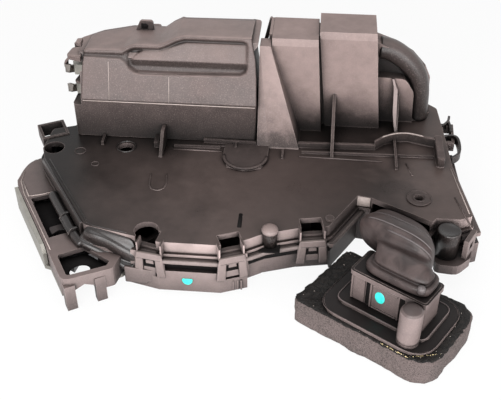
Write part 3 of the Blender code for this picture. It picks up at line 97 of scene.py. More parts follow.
# %% [markdown]
# ## Camera
# A long lens looks down at the plate from the front, a little from the right. It stands where the
# photographer's did, so that the picture and the photograph can be laid over each other.

# %% Camera
ELEVATION, AZIMUTH, DISTANCE = math.radians(38.0), math.radians(5.0), 357.0
FOCAL_PIXELS, PHOTO_WIDTH, SENSOR = 850.0, 501.0, 36.0


def placed(name, data):
    """A new object in the scene, with a mesh, a lamp or a camera as its data."""
    thing = bpy.data.objects.new(name, data)
    bpy.context.scene.collection.objects.link(thing)
    return thing


away = Vector((math.sin(AZIMUTH) * math.cos(ELEVATION), -math.cos(AZIMUTH) * math.cos(ELEVATION),
               math.sin(ELEVATION)))
camera = placed("camera", bpy.data.cameras.new("camera"))
camera.location = plan(*(away * DISTANCE))
camera.rotation_euler = (-away).to_track_quat("-Z", "Y").to_euler()
camera.data.sensor_width = SENSOR
camera.data.lens = FOCAL_PIXELS * SENSOR / PHOTO_WIDTH
camera.data.clip_start, camera.data.clip_end = 0.01, 20.0
bpy.context.scene.camera = camera
print("lens:", round(camera.data.lens, 2), "mm")

# %% [markdown]
# ## Writing a finish
# A finish is a small graph of nodes. Wrapping one output socket in a class lets the graph be written as
# sums: 1 - mask makes the Math node by itself. Colours go through Mix, because a Math node would turn them grey.

# %% A socket that can be used in sums
FINISHES = {}


class Flow:
    """One output socket of a graph of nodes."""

    def __init__(self, tree, socket=None):
        self.tree, self.socket = tree, socket

    def node(self, kind, settings=None, inputs=None, out=0):
        """Any node: its settings come first, then the values or links of its sockets."""
        made = self.tree.nodes.new(kind)
        for name, value in (settings or {}).items():
            if name == "stops":
                while len(made.color_ramp.elements) < len(value):
                    made.color_ramp.elements.new(0.5)
                for element, (place, shade) in zip(made.color_ramp.elements, value):
                    element.position = place
                    element.color = (shade, shade, shade, 1.0)
            else:
                setattr(made, name, value)
        for name, value in (inputs or {}).items():
            self.put(made.inputs[name], value)
        return Flow(self.tree, made.outputs[out])

    def put(self, socket, value):
        if isinstance(value, Flow):
            self.tree.links.new(value.socket, socket)
        elif isinstance(value, tuple) and len(value) == 3 and socket.type == "RGBA":
            socket.default_value = (*value, 1.0)
        else:
            socket.default_value = value

    def sum(self, operation, one, two):
        return self.node("ShaderNodeMath", {"operation": operation}, {0: one, 1: two})

    def __add__(self, other):
        return self.sum("ADD", self, other)

    def __radd__(self, other):
        return self.sum("ADD", other, self)

    def __sub__(self, other):
        return self.sum("SUBTRACT", self, other)

    def __rsub__(self, other):
        return self.sum("SUBTRACT", other, self)

    def __mul__(self, other):
        return self.sum("MULTIPLY", self, other)

    def __rmul__(self, other):
        return self.sum("MULTIPLY", other, self)

    def ramp(self, *stops):
        """The value read through a ramp of grey stops (place, shade)."""
        return self.node("ShaderNodeValToRGB", {"stops": stops}, {"Fac": self})

    def between(self, low, high):
        """0 up to a low value, 1 from a high one, and a straight rise from one to the other."""
        return self.ramp((low, 0.0), (high, 1.0))

    def colours(self, low, high):
        """A colour between two, by this value."""
        return self.node("ShaderNodeMix", {"data_type": "RGBA"}, {0: self, 6: low, 7: high}, out=2)

    def shaded(self, shade):
        """This colour, made darker or brighter by a shade: each channel is multiplied."""
        return self.node("ShaderNodeMix", {"data_type": "RGBA", "blend_type": "MULTIPLY"},
                         {0: 1.0, 6: self, 7: shade}, out=2)

    def axis(self, number):
        """One of the three numbers of this vector."""
        return self.node("ShaderNodeSeparateXYZ", None, {"Vector": self}, out=number)

    def seen(self):
        """1 for what the camera sees straight or in a mirror or glass, and 0 for the light that falls on things."""
        straight, mirrored, through = [self.node("ShaderNodeLightPath", out=out) for out in (0, 3, 6)]
        return self.sum("MAXIMUM", self.sum("MAXIMUM", straight, mirrored), through)


print("sockets can be added and multiplied")

# %% A material that is being written
class Finish(Flow):
    """A material that is being written. Its points are the model's own metres."""

    def __init__(self, name, colour, roughness, metallic=0.0):
        self.material = FINISHES[name] = bpy.data.materials.new(name)
        self.material.use_nodes = True
        self.material.diffuse_color = (*colour, 1.0)
        super().__init__(self.material.node_tree)
        self.shader = self.tree.nodes["Principled BSDF"]
        self.set("Base Color", colour)
        self.set("Roughness", roughness)
        self.set("Metallic", metallic)
        self.points = self.node("ShaderNodeTexCoord", out=3)

    def set(self, name, value):
        self.put(self.shader.inputs[name], value)

    def noise(self, size_mm, detail=2.0, rough=0.5, warp=0.0):
        """Cloudy noise whose lumps are about size_mm across."""
        return self.node("ShaderNodeTexNoise", None, {"Vector": self.points, "Scale": 1.0 / (size_mm * MM),
                                                      "Detail": detail, "Roughness": rough, "Distortion": warp})

    def bump(self, height, depth_mm, under=None):
        """Relief of a depth in millimetres, on top of other relief if there is some."""
        inputs = {"Strength": 1.0, "Distance": depth_mm * MM, "Height": height}
        if under is not None:
            inputs["Normal"] = under
        return self.node("ShaderNodeBump", None, inputs)

    def edges(self, radius_mm):
        """1 where the surface turns sharply within a radius, and 0 on flat ground."""
        soft = self.node("ShaderNodeBevel", {"samples": 6}, {"Radius": radius_mm * MM})
        straight = self.node("ShaderNodeNewGeometry", out=1)
        same = self.node("ShaderNodeVectorMath", {"operation": "DOT_PRODUCT"}, {0: soft, 1: straight}, out=1)
        return (1.0 - same).between(0.02, 0.22)

    def open_air(self, reach_mm):
        """1 in the open, and less where other surfaces stand within reach."""
        return self.node("ShaderNodeAmbientOcclusion", {"samples": 6}, {"Distance": reach_mm * MM}, out=1)


print("finishes can be written")

# %% [markdown]
# ## Moulded plastic
# The housing is glass-filled nylon. Up close it is never one colour: the mould was spark-eroded, so a fine
# grain catches the light, large soft patches differ a little, and edges are paler, partly rubbed and partly a
# painted highlight. Upright walls keep the coarse grain, while the flat plate came off polished steel and is smooth.
# Upright and level faces also get different colours as painted light: on the cover the walls are painted paler, as
# the lamps light them, and the plate darker, as its dark reflections make it. An Ambient Occlusion node, which
# knows how sheltered a place is, paints shade into the corners. Painted shade makes tall walls paler upwards and
# darker towards the bottom, a painted reflection drifts the plate's brightness from left to right, and painted
# shade, a value painted on the mesh, keeps the recess of the motor cover dark. Ramps do all three, so that no
# picture has to be mapped.

# %% Moulded plastic finishes
# Colours and shares of the painted shade on brows and in the motor cover's recess, and of the pale grain.
BROW_SHADE_COLOUR, SUNK_SHADE_COLOUR = (0.03, 0.022, 0.02), (0.026, 0.019, 0.0175)
BROW_SHADE_SHARE, SUNK_SHADE_SHARE, SPARKLE_SHARE = 0.72, 0.8, 0.28
BLOCK_HEIGHT, PLATE_WIDTH, FADE = 0.05, 0.2, 0.0008


def moulded(name, flat, walls, rough_flat, rough_walls, depth_mm=0.03, patch=0.22, edge_wear_and_highlight=0.7, pale=(0.4, 0.32, 0.3),
            above=None, block=None, height_shade=None, across=None, painted=None, gloss=0.5):
    """A moulded plastic: the colours of level and of upright faces, which also differ by painted light, how rough
    both are, its grain, how patchy it is and how pale its edges are, by wear and by a painted highlight. Above a
    height in the plan, if one is given, it has the two colours of the block, with painted shade that darkens them
    downwards. Across the plan a painted reflection can shift its brightness from left to right, and painted shade
    makes it nearly black where a value painted on the mesh says so."""
    finish = Finish(name, flat, rough_flat)
    level = finish.node("ShaderNodeNewGeometry", out=3).axis(2)
    upright = finish.sum("ABSOLUTE", level, 0.0).ramp((0.35, 1.0), (0.8, 0.0))
    clouds = finish.noise(24.0, 3.0, 0.6).between(0.35, 0.65)
    fine = finish.noise(5.0, 4.0, 0.65).between(0.3, 0.7)
    grain = finish.noise(0.5, 2.0, 0.7)
    # Painted light: level and upright faces get their own colours, as the lamps light them differently; their
    # roughness differs for real.
    shade = upright.colours(flat, walls)
    roughness = rough_flat + upright * (rough_walls - rough_flat)
    # Painted light: above the plate the blocks get paler colours of their own, though they are the same plastic as the
    # plate.
    if above is not None:
        height = finish.points.axis(2)
        tall = (height - plan(0, 0, 0).z) * (1.0 / BLOCK_HEIGHT)
        # Painted shade: the block's colours darken towards its foot, by height.
        block = upright.colours(*block).shaded((tall + (fine - 0.5) * 0.1).ramp(*height_shade))
        # Painted shade: sloped brows and chamfers of the cover's blocks are darkened by how they face.
        if painted is None:
            brow_shade = level.ramp((0.42, 0.0), (0.5, 1.0), (0.84, 1.0), (0.93, 0.0))
            block = (brow_shade * BROW_SHADE_SHARE).colours(block, BROW_SHADE_COLOUR)
        high = (height - (plan(0, 0, above).z - FADE / 2)) * (1.0 / FADE)
        high = finish.sum("MINIMUM", finish.sum("MAXIMUM", high, 0.0), 1.0)
        # Painted reflection: the plate's brightness drifts from left to right, as it mirrors light and dark around it.
        if across is not None:
            reflection_drift = (finish.points.axis(0) + (PLATE_WIDTH / 2 - plan(0, 0, 0).x)) * (1.0 / PLATE_WIDTH)
            shade = shade.shaded((reflection_drift + (clouds - 0.5) * 0.08).ramp(*across))
        shade = high.colours(shade, block)
        roughness = roughness + high * (rough_walls - roughness)
    # Painted shade: the motor cover's recess turns nearly black where the value painted on the mesh says no light gets
    # in.
    if painted is not None:
        sunk = finish.node("ShaderNodeAttribute", {"attribute_name": painted}, out=2)
        shade = (sunk * SUNK_SHADE_SHARE).colours(shade, SUNK_SHADE_COLOUR)
    shade = shade.shaded((clouds * 0.6 + fine * 0.4).ramp((0.0, 1.0 - patch), (1.0, 1.0 + patch)))
    sparkle = grain.between(0.52, 0.74) * upright
    shade = (sparkle * SPARKLE_SHARE).colours(shade, pale)
    # Edges are paler: partly real rubbing, partly a painted highlight where sharp edges catch the light.
    worn_and_highlit_edges = finish.edges(0.5) * finish.noise(3.0, 3.0, 0.6).ramp((0.2, 0.3), (0.7, 1.0))
    shade = (worn_and_highlit_edges * edge_wear_and_highlight).colours(shade, pale)
    # Painted shade: corners and crevices are darkened by how sheltered they are, as an Ambient Occlusion node finds.
    finish.set("Base Color", shade.shaded(finish.open_air(24.0).ramp((0.3, 0.04), (0.9, 1.0))))
    finish.set("Roughness", roughness + (clouds - 0.5) * 0.1 + (grain - 0.5) * 0.15)
    finish.set("Normal", finish.bump(grain, depth_mm))
    finish.set("Specular IOR Level", gloss)


print("a moulded plastic needs two colours and two values of roughness")

# %% The moulded plastics of this lock
# Painted shade by height for the blocks of the cover and the motor cover: darker towards the bottom.
SHELL_HEIGHT_SHADE = ((0.03, 0.22), (0.1, 0.3), (0.17, 0.62), (0.32, 0.82), (0.5, 1.0))
MOTOR_HEIGHT_SHADE = ((0.1, 0.3), (0.34, 0.5), (0.46, 0.85), (0.9, 1.0))
# Painted reflection across the plate: its brightness by place from left to right.
PLATE_PAINTED_REFLECTION = ((0.06, 0.12), (0.16, 0.3), (0.3, 0.5), (0.45, 0.78), (0.6, 0.6), (0.74, 0.32), (0.83, 0.85))
BLOCK_START = 0.4
moulded("cover_plastic", (0.092, 0.068, 0.062), (0.54, 0.425, 0.405), 0.34, 0.55, above=BLOCK_START,
        block=((0.26, 0.197, 0.184), (0.25, 0.187, 0.175)), height_shade=SHELL_HEIGHT_SHADE, across=PLATE_PAINTED_REFLECTION, gloss=0.2)
moulded("drive_cover_plastic", (0.19, 0.142, 0.132), (0.115, 0.084, 0.079), 0.5, 0.5, 0.06, above=BLOCK_START,
        block=((0.22, 0.165, 0.153), (0.1, 0.072, 0.067)), height_shade=MOTOR_HEIGHT_SHADE, painted="sunk", gloss=0.35)
moulded("wedge_plastic", (0.2, 0.15, 0.14), (0.24, 0.185, 0.176), 0.5, 0.5, gloss=0.35)
# Painted shade: a darker copy of the cover's plastic for the arch's tube and bowl.
moulded("arch_shaded_plastic", (0.07, 0.052, 0.048), (0.03, 0.022, 0.0205), 0.34, 0.36, gloss=0.45, edge_wear_and_highlight=0.2)
moulded("shell_plastic", (0.012, 0.009, 0.0085), (0.022, 0.0165, 0.0155), 0.27, 0.32, 0.02, gloss=0.45, patch=0.3)
moulded("tray_plastic", (0.08, 0.06, 0.056), (0.215, 0.166, 0.158), 0.42, 0.55, gloss=0.35)
moulded("clip_plastic", (0.14, 0.11, 0.1), (0.205, 0.16, 0.152), 0.42, 0.55, gloss=0.35)
moulded("carrier_plastic", (0.135, 0.101, 0.095), (0.175, 0.136, 0.13), 0.42, 0.55, gloss=0.35)
moulded("connector_plastic", (0.012, 0.009, 0.0088), (0.15, 0.115, 0.11), 0.45, 0.45, 0.02, gloss=0.18)
moulded("connector_panel_edge", (0.13, 0.103, 0.1), (0.13, 0.103, 0.1), 0.45, 0.45, 0.02, gloss=0.2)
moulded("peg_plastic", (0.06, 0.045, 0.043), (0.19, 0.146, 0.14), 0.45, 0.5, 0.02, gloss=0.3)
moulded("gear_plastic", (0.72, 0.69, 0.62), (0.72, 0.69, 0.62), 0.45, 0.45, 0.01, 0.05, 0.1, pale=(0.8, 0.78, 0.7))
print("moulded:", ", ".join(FINISHES))

# %% [markdown]
# ## Metal
# The latch plate and levers are zinc-plated sheet: bright, faintly cloudy, with fine drawn scratches.
# Pins and the fork are blackened. The scratches are noise stretched a hundredfold along the sheet.

# %% Metal finishes
def metal(name, colour, roughness):
    finish = Finish(name, colour, roughness, 1.0)
    stretched = finish.node("ShaderNodeMapping", None, {"Vector": finish.points, "Rotation": (0.0, 0.0, 0.5),
                                                        "Scale": (40.0, 4000.0, 4000.0)})
    scratches = finish.node("ShaderNodeTexNoise", None, {"Vector": stretched, "Scale": 1.0, "Detail": 2.0})
    clouds = finish.noise(4.0, 4.0, 0.65).between(0.3, 0.75)
    finish.set("Base Color", clouds.colours(tuple(value * 0.78 for value in colour), colour))
    finish.set("Roughness", roughness + (clouds - 0.5) * 0.12 + (scratches - 0.5) * 0.15)
    finish.set("Normal", finish.bump(scratches, 0.004))


for name, colour, roughness in (
        ("zinc_steel", (0.33, 0.315, 0.285), 0.55), ("lever_zinc", (0.30, 0.27, 0.25), 0.45),
        ("dark_steel", (0.16, 0.155, 0.16), 0.4), ("spring_steel", (0.55, 0.55, 0.56), 0.3),
        ("motor_steel", (0.6, 0.6, 0.61), 0.3), ("brass", (0.75, 0.55, 0.25), 0.3)):
    metal(name, colour, roughness)
print("metals:", len(FINISHES))

# %% [markdown]
# ## Rubber, foam and paint
# The cable boot is satin rubber with flow marks. The seal is open-cell foam under a thin black film; its cut
# sides show pores. The round dots are the teal paint that a tester puts on a part that has passed.

# %% Soft finishes and paint
rubber = Finish("rubber", (0.028, 0.022, 0.022), 0.42)
flow_marks = rubber.noise(9.0, 4.0, 0.6, 1.2)
rubber_shade = flow_marks.between(0.3, 0.7).colours((0.022, 0.015, 0.0142), (0.066, 0.047, 0.0445))
# Painted shade: the rubber darkens in its folds and creases, by how sheltered each place is.
rubber_crease_shade = rubber.open_air(18.0).between(0.35, 0.85)
rubber.set("Base Color", rubber_crease_shade.colours((0.006, 0.005, 0.005), rubber_shade))
rubber.set("Roughness", 0.36 + flow_marks * 0.16)
rubber.set("Normal", rubber.bump(rubber.noise(0.5, 2.0, 0.6), 0.02, rubber.bump(flow_marks, 0.25)))
rubber.set("Specular IOR Level", 0.3)

foam = Finish("foam", (0.14, 0.11, 0.105), 0.95)
pores = foam.node("ShaderNodeTexVoronoi", None, {"Vector": foam.points, "Scale": 1.0 / (0.7 * MM)})
foam_clouds = foam.noise(7.0, 4.0, 0.65)
foam_shade = pores.between(0.1, 0.55).colours((0.03, 0.023, 0.022), (0.098, 0.076, 0.071))
foam.set("Base Color", foam_clouds.ramp((0.35, 0.0), (0.7, 0.6)).colours(foam_shade, (0.132, 0.099, 0.095)))
foam.set("Normal", foam.bump(pores, 0.35, foam.bump(foam_clouds, 0.5)))

# Painted highlight: a paler rubber for the boot's thin ridges and lug.
rubber_highlight = Finish("rubber_highlight", (0.09, 0.075, 0.075), 0.35)
rubber_highlight.set("Roughness", 0.3 + rubber_highlight.noise(2.0) * 0.2)

# Crumbs and glue are real bits; the pale finish for thin ridges and lines is a painted highlight.
for bit, colour in (("crumb", (0.5, 0.42, 0.38)), ("glue", (0.9, 0.72, 0.4)), ("painted_highlight", (0.46, 0.38, 0.35))):
    speck = Finish(bit, colour, 0.6)
    speck.set("Base Color", speck.noise(1.0).colours(tuple(value * 0.5 for value in colour), colour))

shadow = Finish("deep_shadow", (0.006, 0.005, 0.005), 0.8)
shadow.set("Specular IOR Level", 0.1)
shadow.set("Roughness", 0.7 + shadow.noise(2.0) * 0.2)

film = Finish("film", (0.02, 0.017, 0.016), 0.3)
creases = film.noise(1.6, 5.0, 0.75, 0.8)
film.set("Base Color", creases.between(0.45, 0.85).colours((0.003, 0.0025, 0.0024), (0.028, 0.022, 0.019)))
film.set("Specular IOR Level", 0.22)
film.set("Roughness", 0.2 + creases * 0.4)
film.set("Normal", film.bump(creases, 0.5))

paint = Finish("teal_paint", (0.03, 0.66, 0.56), 0.35)
blot = paint.noise(1.1, 3.0, 0.6)
paint.set("Base Color", blot.between(0.3, 0.7).colours((0.02, 0.56, 0.48), (0.06, 0.76, 0.66)))
paint.set("Normal", paint.bump(blot, 0.1))
print("finishes:", len(FINISHES))

# %% [markdown]
# ## Making a piece
# Every small form is made from a list of places: an outline that is raised, a section that is carried along a
# path, or rings that are lofted. They are closed bodies, get soft edges from a Bevel, and ride on a body of the model.

# %% Helpers that make a piece
ADDED = []
SHARP_TURN, EDGE_STEPS = math.radians(32.0), 2


def soften(thing, width_mm):
    """Soft edges: points that lie on each other are joined, then every sharp edge is rounded."""
    weld = thing.modifiers.new("join points", "WELD")
    weld.merge_threshold = 1e-6
    bevel = thing.modifiers.new("soft edges", "BEVEL")
    bevel.width, bevel.segments, bevel.limit_method = width_mm * MM, EDGE_STEPS, "ANGLE"
    bevel.angle_limit, bevel.use_clamp_overlap, bevel.harden_normals = SHARP_TURN, True, True


def piece(name, shape, finish, body="housing", edge=0.0, smooth=0):
    """A shape becomes a piece of the lock, with its finish, its edges and the body that it moves with."""
    bmesh.ops.recalc_face_normals(shape, faces=shape.faces)
    mesh = bpy.data.meshes.new(name)
    shape.to_mesh(mesh)
    shape.free()
    mesh.shade_smooth()
    thing = placed(name, mesh)
    mesh.materials.append(FINISHES[finish])
    if edge:
        soften(thing, edge)
    if smooth:
        rounder = thing.modifiers.new("smooth form", "SUBSURF")
        rounder.levels = rounder.render_levels = smooth
    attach(thing, body)
    ADDED.append(thing)
    return thing


# %% Outlines that are raised, and rings that are joined
def eased(corners, steps=4):
    """An outline whose corners (x, y, radius) are rounded."""
    ring = []
    for index, (x, y, radius) in enumerate(corners):
        here = Vector((x, y))
        if not radius:
            ring.append(here)
            continue
        to_last = (Vector(corners[index - 1][:2]) - here).normalized()
        to_next = (Vector(corners[(index + 1) % len(corners)][:2]) - here).normalized()
        half = to_last.angle(to_next) / 2
        start, end = here + to_last * radius / math.tan(half), here + to_next * radius / math.tan(half)
        for step in range(steps + 1):
            part = step / steps
            ring.append((start * (1 - part) + here * part) * (1 - part) + (here * (1 - part) + end * part) * part)
    return ring


def raised(outline, low, high, ruler=plan, shape=None):
    """An outline raised between two heights."""
    shape = shape or bmesh.new()
    lower = [shape.verts.new(ruler(x, y, low)) for x, y in outline]
    upper = [shape.verts.new(ruler(x, y, high)) for x, y in outline]
    shape.faces.new(lower[::-1])
    shape.faces.new(upper)
    for index in range(len(outline)):
        shape.faces.new((lower[index - 1], lower[index], upper[index], upper[index - 1]))
    return shape


def block(x, y, z, ruler=plan, shape=None):
    return raised([(x[0], y[0]), (x[1], y[0]), (x[1], y[1]), (x[0], y[1])], z[0], z[1], ruler, shape)


def upright_plate(outline, front, back, ruler, shape=None):
    """An outline (along, height) that stands upright, given thickness from front to back."""
    return raised(outline, -back, -front, lambda x, z, y: ruler(x, -y, z), shape)


def lofted(rings, shape=None, closed=False):
    """Rings of places joined one to the next, with the ends filled."""
    shape = shape or bmesh.new()
    rows = [[shape.verts.new(place) for place in ring] for ring in rings]
    pairs = list(zip(rows, rows[1:])) + ([(rows[-1], rows[0])] if closed else [])
    for one, two in pairs:
        for index in range(len(one)):
            shape.faces.new((one[index], one[index - 1], two[index - 1], two[index]))
    if not closed:
        shape.faces.new(rows[0])
        shape.faces.new(rows[-1][::-1])
    return shape


def around(steps):
    """Equal steps of angle, once round."""
    return [math.tau * step / steps for step in range(steps)]


def ring_of(x, y, radius, z=0.0, ruler=plan, steps=24):
    return [ruler(x + radius * math.cos(angle), y + radius * math.sin(angle), z) for angle in around(steps)]


def turned(x, y, rows, ruler=plan, steps=24):
    """Rings (radius, height) round an upright axis, joined from one to the next."""
    return lofted([ring_of(x, y, radius, z, ruler, steps) for radius, z in rows])


print("points of a rounded square:", len(eased([(0, 0, 1), (4, 0, 1), (4, 4, 1), (0, 4, 1)])))

# %% Sections that are carried along a path
def swept(path, section, shape=None, closed=False, tip=1.0):
    """A section (outward, up) in millimetres, carried along a path of places; outward is to the path's right."""
    rings, count = [], len(path)
    for index, here in enumerate(path):
        before = path[index - 1] if closed or index else here
        after = path[(index + 1) % count] if closed or index < count - 1 else here
        way = (after - before).normalized()
        side = way.cross(Vector((0, 0, 1))).normalized()
        rise = side.cross(way)
        size = tip if not closed and index in (0, count - 1) else 1.0
        rings.append([here + (side * a + rise * b) * MM * size for a, b in section])
    return lofted(rings, shape, closed)


def flowing(points, per=5):
    """A smooth curve through a few points, with so many steps between two of them."""
    curve = []
    for index in range(len(points) - 1):
        one, two = points[index], points[index + 1]
        before, after = points[max(index - 1, 0)], points[min(index + 2, len(points) - 1)]
        for step in range(per):
            t = step / per
            curve.append(0.5 * ((2 * one) + (two - before) * t + (2 * before - 5 * one + 4 * two - after) * t * t
                                + (3 * one - before - 3 * two + after) * t * t * t))
    return curve + [points[-1]]


def places(points, ruler=plan):
    """Places for points that are given in millimetres."""
    return [ruler(*point) for point in points]


def disc(radius, steps=8):
    """A round section."""
    return [(radius * math.cos(angle), radius * math.sin(angle)) for angle in around(steps)]


def slat(wide, tall):
    """A section with four corners."""
    return [(-wide / 2, -tall / 2), (wide / 2, -tall / 2), (wide / 2, tall / 2), (-wide / 2, tall / 2)]


print("a section with four corners:", slat(2.0, 1.0))

# %% [markdown]
# ## The model's own solids
# The solids have the right form, so they stay and are only dressed: each gets its finish and soft edges.
# The radius is small, because moulded edges are rounded by a few tenths of a millimetre.

# %% Dress the solids
SLOT_OF = {part["node"]: part["material_slot"] for part in frame["record"]["subparts"]}
EDGE_OF = {"top_cover": 0.45, "motor_cover": 0.7, "base_tray": 0.5, "latch_carrier": 0.5, "connector_housing": 0.35,
           "latch_plate": 0.25}
for name, node in NODES.items():
    node.data.materials.clear()
    node.data.materials.append(FINISHES[SLOT_OF[name]])
    soften(node, EDGE_OF.get(name, 0.15))
print("dressed:", len(NODES), "solids")

# %% [markdown]
# ## The rounded shoulder at the front left
# Between the corner of the plate and the first clip the cover sinks to the level of the latch head in two
# round folds with a deep groove between them. A block can't show that. Lines are written along the folds,
# from the plate over both crests to the foot, and joined into one skin that a subdivision surface smooths.

# %% The shoulder and its folds
FOLD_LINES = {
    "plate": [(-64.6, -20.4, -0.1), (-62.4, -21.9, -0.1), (-57.0, -23.4, -0.2),
              (-51.5, -24.8, -0.3), (-46.8, -26.0, -0.5), (-43.6, -26.6, -0.8)],
    "edge": [(-65.0, -21.7, 0.2), (-62.2, -23.4, 0.1), (-57.0, -25.0, -0.3),
             (-51.4, -26.6, -0.9), (-46.6, -28.0, -1.8), (-43.2, -28.6, -2.6)],
    "dip": [(-65.3, -22.6, -0.9), (-62.2, -24.4, -1.1), (-57.0, -25.8, -1.7),
            (-51.6, -27.6, -3.2), (-47.0, -28.9, -4.8), (-42.9, -29.6, -6.2)],
    "upper crest": [(-65.7, -23.9, -0.7), (-62.0, -26.0, -1.0), (-56.9, -26.8, -1.8),
                    (-51.9, -29.0, -3.4), (-47.3, -30.5, -5.4), (-42.7, -31.4, -7.2)],
    "upper foot": [(-66.3, -24.8, -2.8), (-62.4, -26.9, -3.4), (-57.5, -28.0, -4.6),
                   (-52.4, -29.8, -6.6), (-47.7, -31.2, -8.6), (-42.9, -31.8, -10.2)],
    "groove": [(-66.8, -24.2, -5.4), (-62.9, -25.8, -6.2), (-58.4, -26.8, -7.4),
               (-53.6, -28.0, -9.2), (-48.6, -29.2, -11.2), (-43.4, -29.6, -12.6)],
    "lower head": [(-68.2, -24.6, -5.0), (-64.8, -26.4, -6.0), (-60.2, -27.2, -7.2),
                   (-55.4, -28.6, -9.0), (-50.6, -30.4, -11.4), (-44.4, -31.8, -13.2)],
    "lower crest": [(-69.6, -24.6, -5.2), (-66.8, -26.9, -6.4), (-61.6, -28.0, -7.8),
                    (-56.8, -29.4, -9.6), (-52.3, -31.2, -11.8), (-44.0, -32.8, -14.2)],
    "lower foot": [(-70.4, -23.8, -8.4), (-67.6, -26.8, -9.6), (-62.2, -28.2, -11.0),
                   (-57.2, -29.7, -12.6), (-52.5, -31.4, -14.6), (-44.0, -33.0, -16.6)],
    "inner foot": [(-66.0, -20.0, -8.6), (-62.0, -22.4, -9.4), (-57.5, -24.0, -10.6),
                   (-52.5, -25.2, -12.0), (-48.5, -26.6, -13.6), (-43.6, -27.2, -15.4)]}
shoulder_rings = [places(ring) for ring in zip(*FOLD_LINES.values())]
piece("front_shoulder", lofted(shoulder_rings), "shell_plastic", smooth=3)
print("lines along the shoulder:", ", ".join(FOLD_LINES))

# %% [markdown]
# ## The lip along the left diagonal
# Further up the plate ends in a double lip with a groove between, and a round bead of the tray runs below it.
# Each is one small section, carried along the edge.

# %% The two lips along the diagonal
DIAGONAL_START, DIAGONAL_END = Vector((-94.3, 21.6, 0)), Vector((-66.6, -21.2, 0))
down_way = (DIAGONAL_END - DIAGONAL_START).normalized()
outward = Vector((down_way.y, -down_way.x, 0))


def beside(part, out, z):
    """A place at a part of the way along the diagonal, and so far outside it."""
    place = DIAGONAL_START.lerp(DIAGONAL_END, part) + outward * out
    return plan(place.x, place.y, z)


OUTER_LIP = [(-0.1, -5.6), (1.0, -5.2), (1.35, -3.4), (1.2, -0.4), (0.85, 0.55), (0.2, 0.75), (-0.35, 0.4),
             (-0.45, -0.4)]
INNER_LIP = [(-0.35, -0.3), (0.35, -0.3), (0.28, 0.35), (0.0, 0.5), (-0.28, 0.35)]
lips = swept([beside(part / 8, 0.0, 0.0) for part in range(9)], OUTER_LIP)
swept([beside(part / 6, -1.9, 0.0) for part in (0.15, 1, 2, 3, 4, 5, 5.9)], INNER_LIP, lips)
corner_run = places([(-65.0, -20.6, 0.0), (-62.4, -22.2, 0.0), (-57.0, -23.6, 0.0), (-47.6, -25.6, -0.1)])
swept(flowing(corner_run, 4), INNER_LIP, lips)
piece("edge_lips_left", lips, "shell_plastic", edge=0.15)
print("the diagonal is", round((DIAGONAL_END - DIAGONAL_START).length, 1), "mm long")

# %% The bead below, and its collars
bead_path = flowing([beside(0.36, 2.9, -6.3), beside(0.5, 3.1, -6.3), beside(0.72, 3.2, -6.4), beside(0.9, 3.2, -6.8),
                     plan(-69.0, -22.6, -7.4), plan(-66.2, -25.6, -7.9)])
piece("tray_bead_left", swept(bead_path, disc(2.3, 12), tip=0.5), "shell_plastic")
COLLARS, COLLAR_HALF = (0.71, 0.93), 0.011
collars = bmesh.new()
for part in COLLARS:
    swept([beside(part - COLLAR_HALF, 3.0, -6.3), beside(part + COLLAR_HALF, 3.0, -6.3)], disc(3.0, 6), collars)
for out, rise in ((5.4, -6.0), (0.8, -3.9)):
    swept([beside(part, out, rise) for part in COLLARS], slat(1.0, 0.8), collars)
piece("bead_collars", collars, "shell_plastic", edge=0.2)
print("bead length (mm):", round(sum((b - a).length for a, b in zip(bead_path, bead_path[1:])) / MM, 1))

# %% [markdown]
# ## Marks on the plate
# A moulded plate tells how it was made: raised guide marks, rings of ejector pins, thin rails and a half round
# pad. They are less than a millimetre high, and still draw the light because their edges are soft.

# %% Rings, the U mark and the half round pad
def bead_line(points, width, high, shape=None, closed=False):
    """A low rounded line on the plate."""
    half = width / 2
    return swept(points, [(-half, -0.3), (half, -0.3), (half * 0.8, high * 0.7), (0, high), (-half * 0.8, high * 0.7)],
                 shape, closed)


marks = bmesh.new()
for x, y, radius, z, steps, width, high in (
        (-80.0, 29.4, 2.5, 0.0, 20, 0.5, 0.3), (-71.0, 20.0, 1.6, 0.0, 16, 0.4, 0.25),
        (70.5, 7.0, 5.0, 0.4, 24, 0.6, 0.3), (70.5, 7.0, 2.5, 0.4, 24, 0.9, 0.5)):
    bead_line(ring_of(x, y, radius, z, steps=steps), width, high, marks, closed=True)
u_mark = places([(-44.9, 14.6, 0), (-44.4, 8.0, 0), (-43.0, 4.4, 0), (-40.4, 3.2, 0), (-38.0, 4.6, 0),
                 (-37.3, 8.2, 0), (-38.0, 14.8, 0)])
bead_line(flowing(u_mark), 0.7, 0.45, marks)
half_round = [plan(-5.0 + 9.6 * math.cos(math.radians(a)), 30.4 + 9.8 * math.sin(math.radians(a)), 1.0)
              for a in range(180, 361, 10)]
bead_line(half_round, 1.5, 0.7, marks)
piece("plate_marks", marks, "cover_plastic")
print("points of the half round pad:", len(half_round))

# %% Rails on the plate
rails = bmesh.new()
for start, end in (((-38.6, 34.4), (-16.0, 34.2)), ((19.0, 33.4), (56.0, 32.6)), ((-30.0, 38.6), (-1.6, 38.2))):
    bead_line([plan(*start, 0), plan(*end, 0)], 0.7, 0.6, rails)
for x, y, long_mm in ((66.5, 32.0, 9.0), (85.6, 9.0, 20.0)):
    bead_line([plan(x, y, 0), plan(x + 0.25 * long_mm, y - long_mm, 0)], 0.6, 0.4, rails)
piece("plate_rails", rails, "cover_plastic")
print("marks and rails:", [thing.name for thing in ADDED[-2:]])

# %% [markdown]
# ## The motor cover's front and roof
# The long recess with its rounded end and the sloped strip inside it can't be cut with straight cutters. Here
# the wall is a sheet of small squares. Each point is moved in or out by its distance from the recess's outline,
# which gives soft walls, and the sheet goes on over the roof. It stands just proud of the solid below.

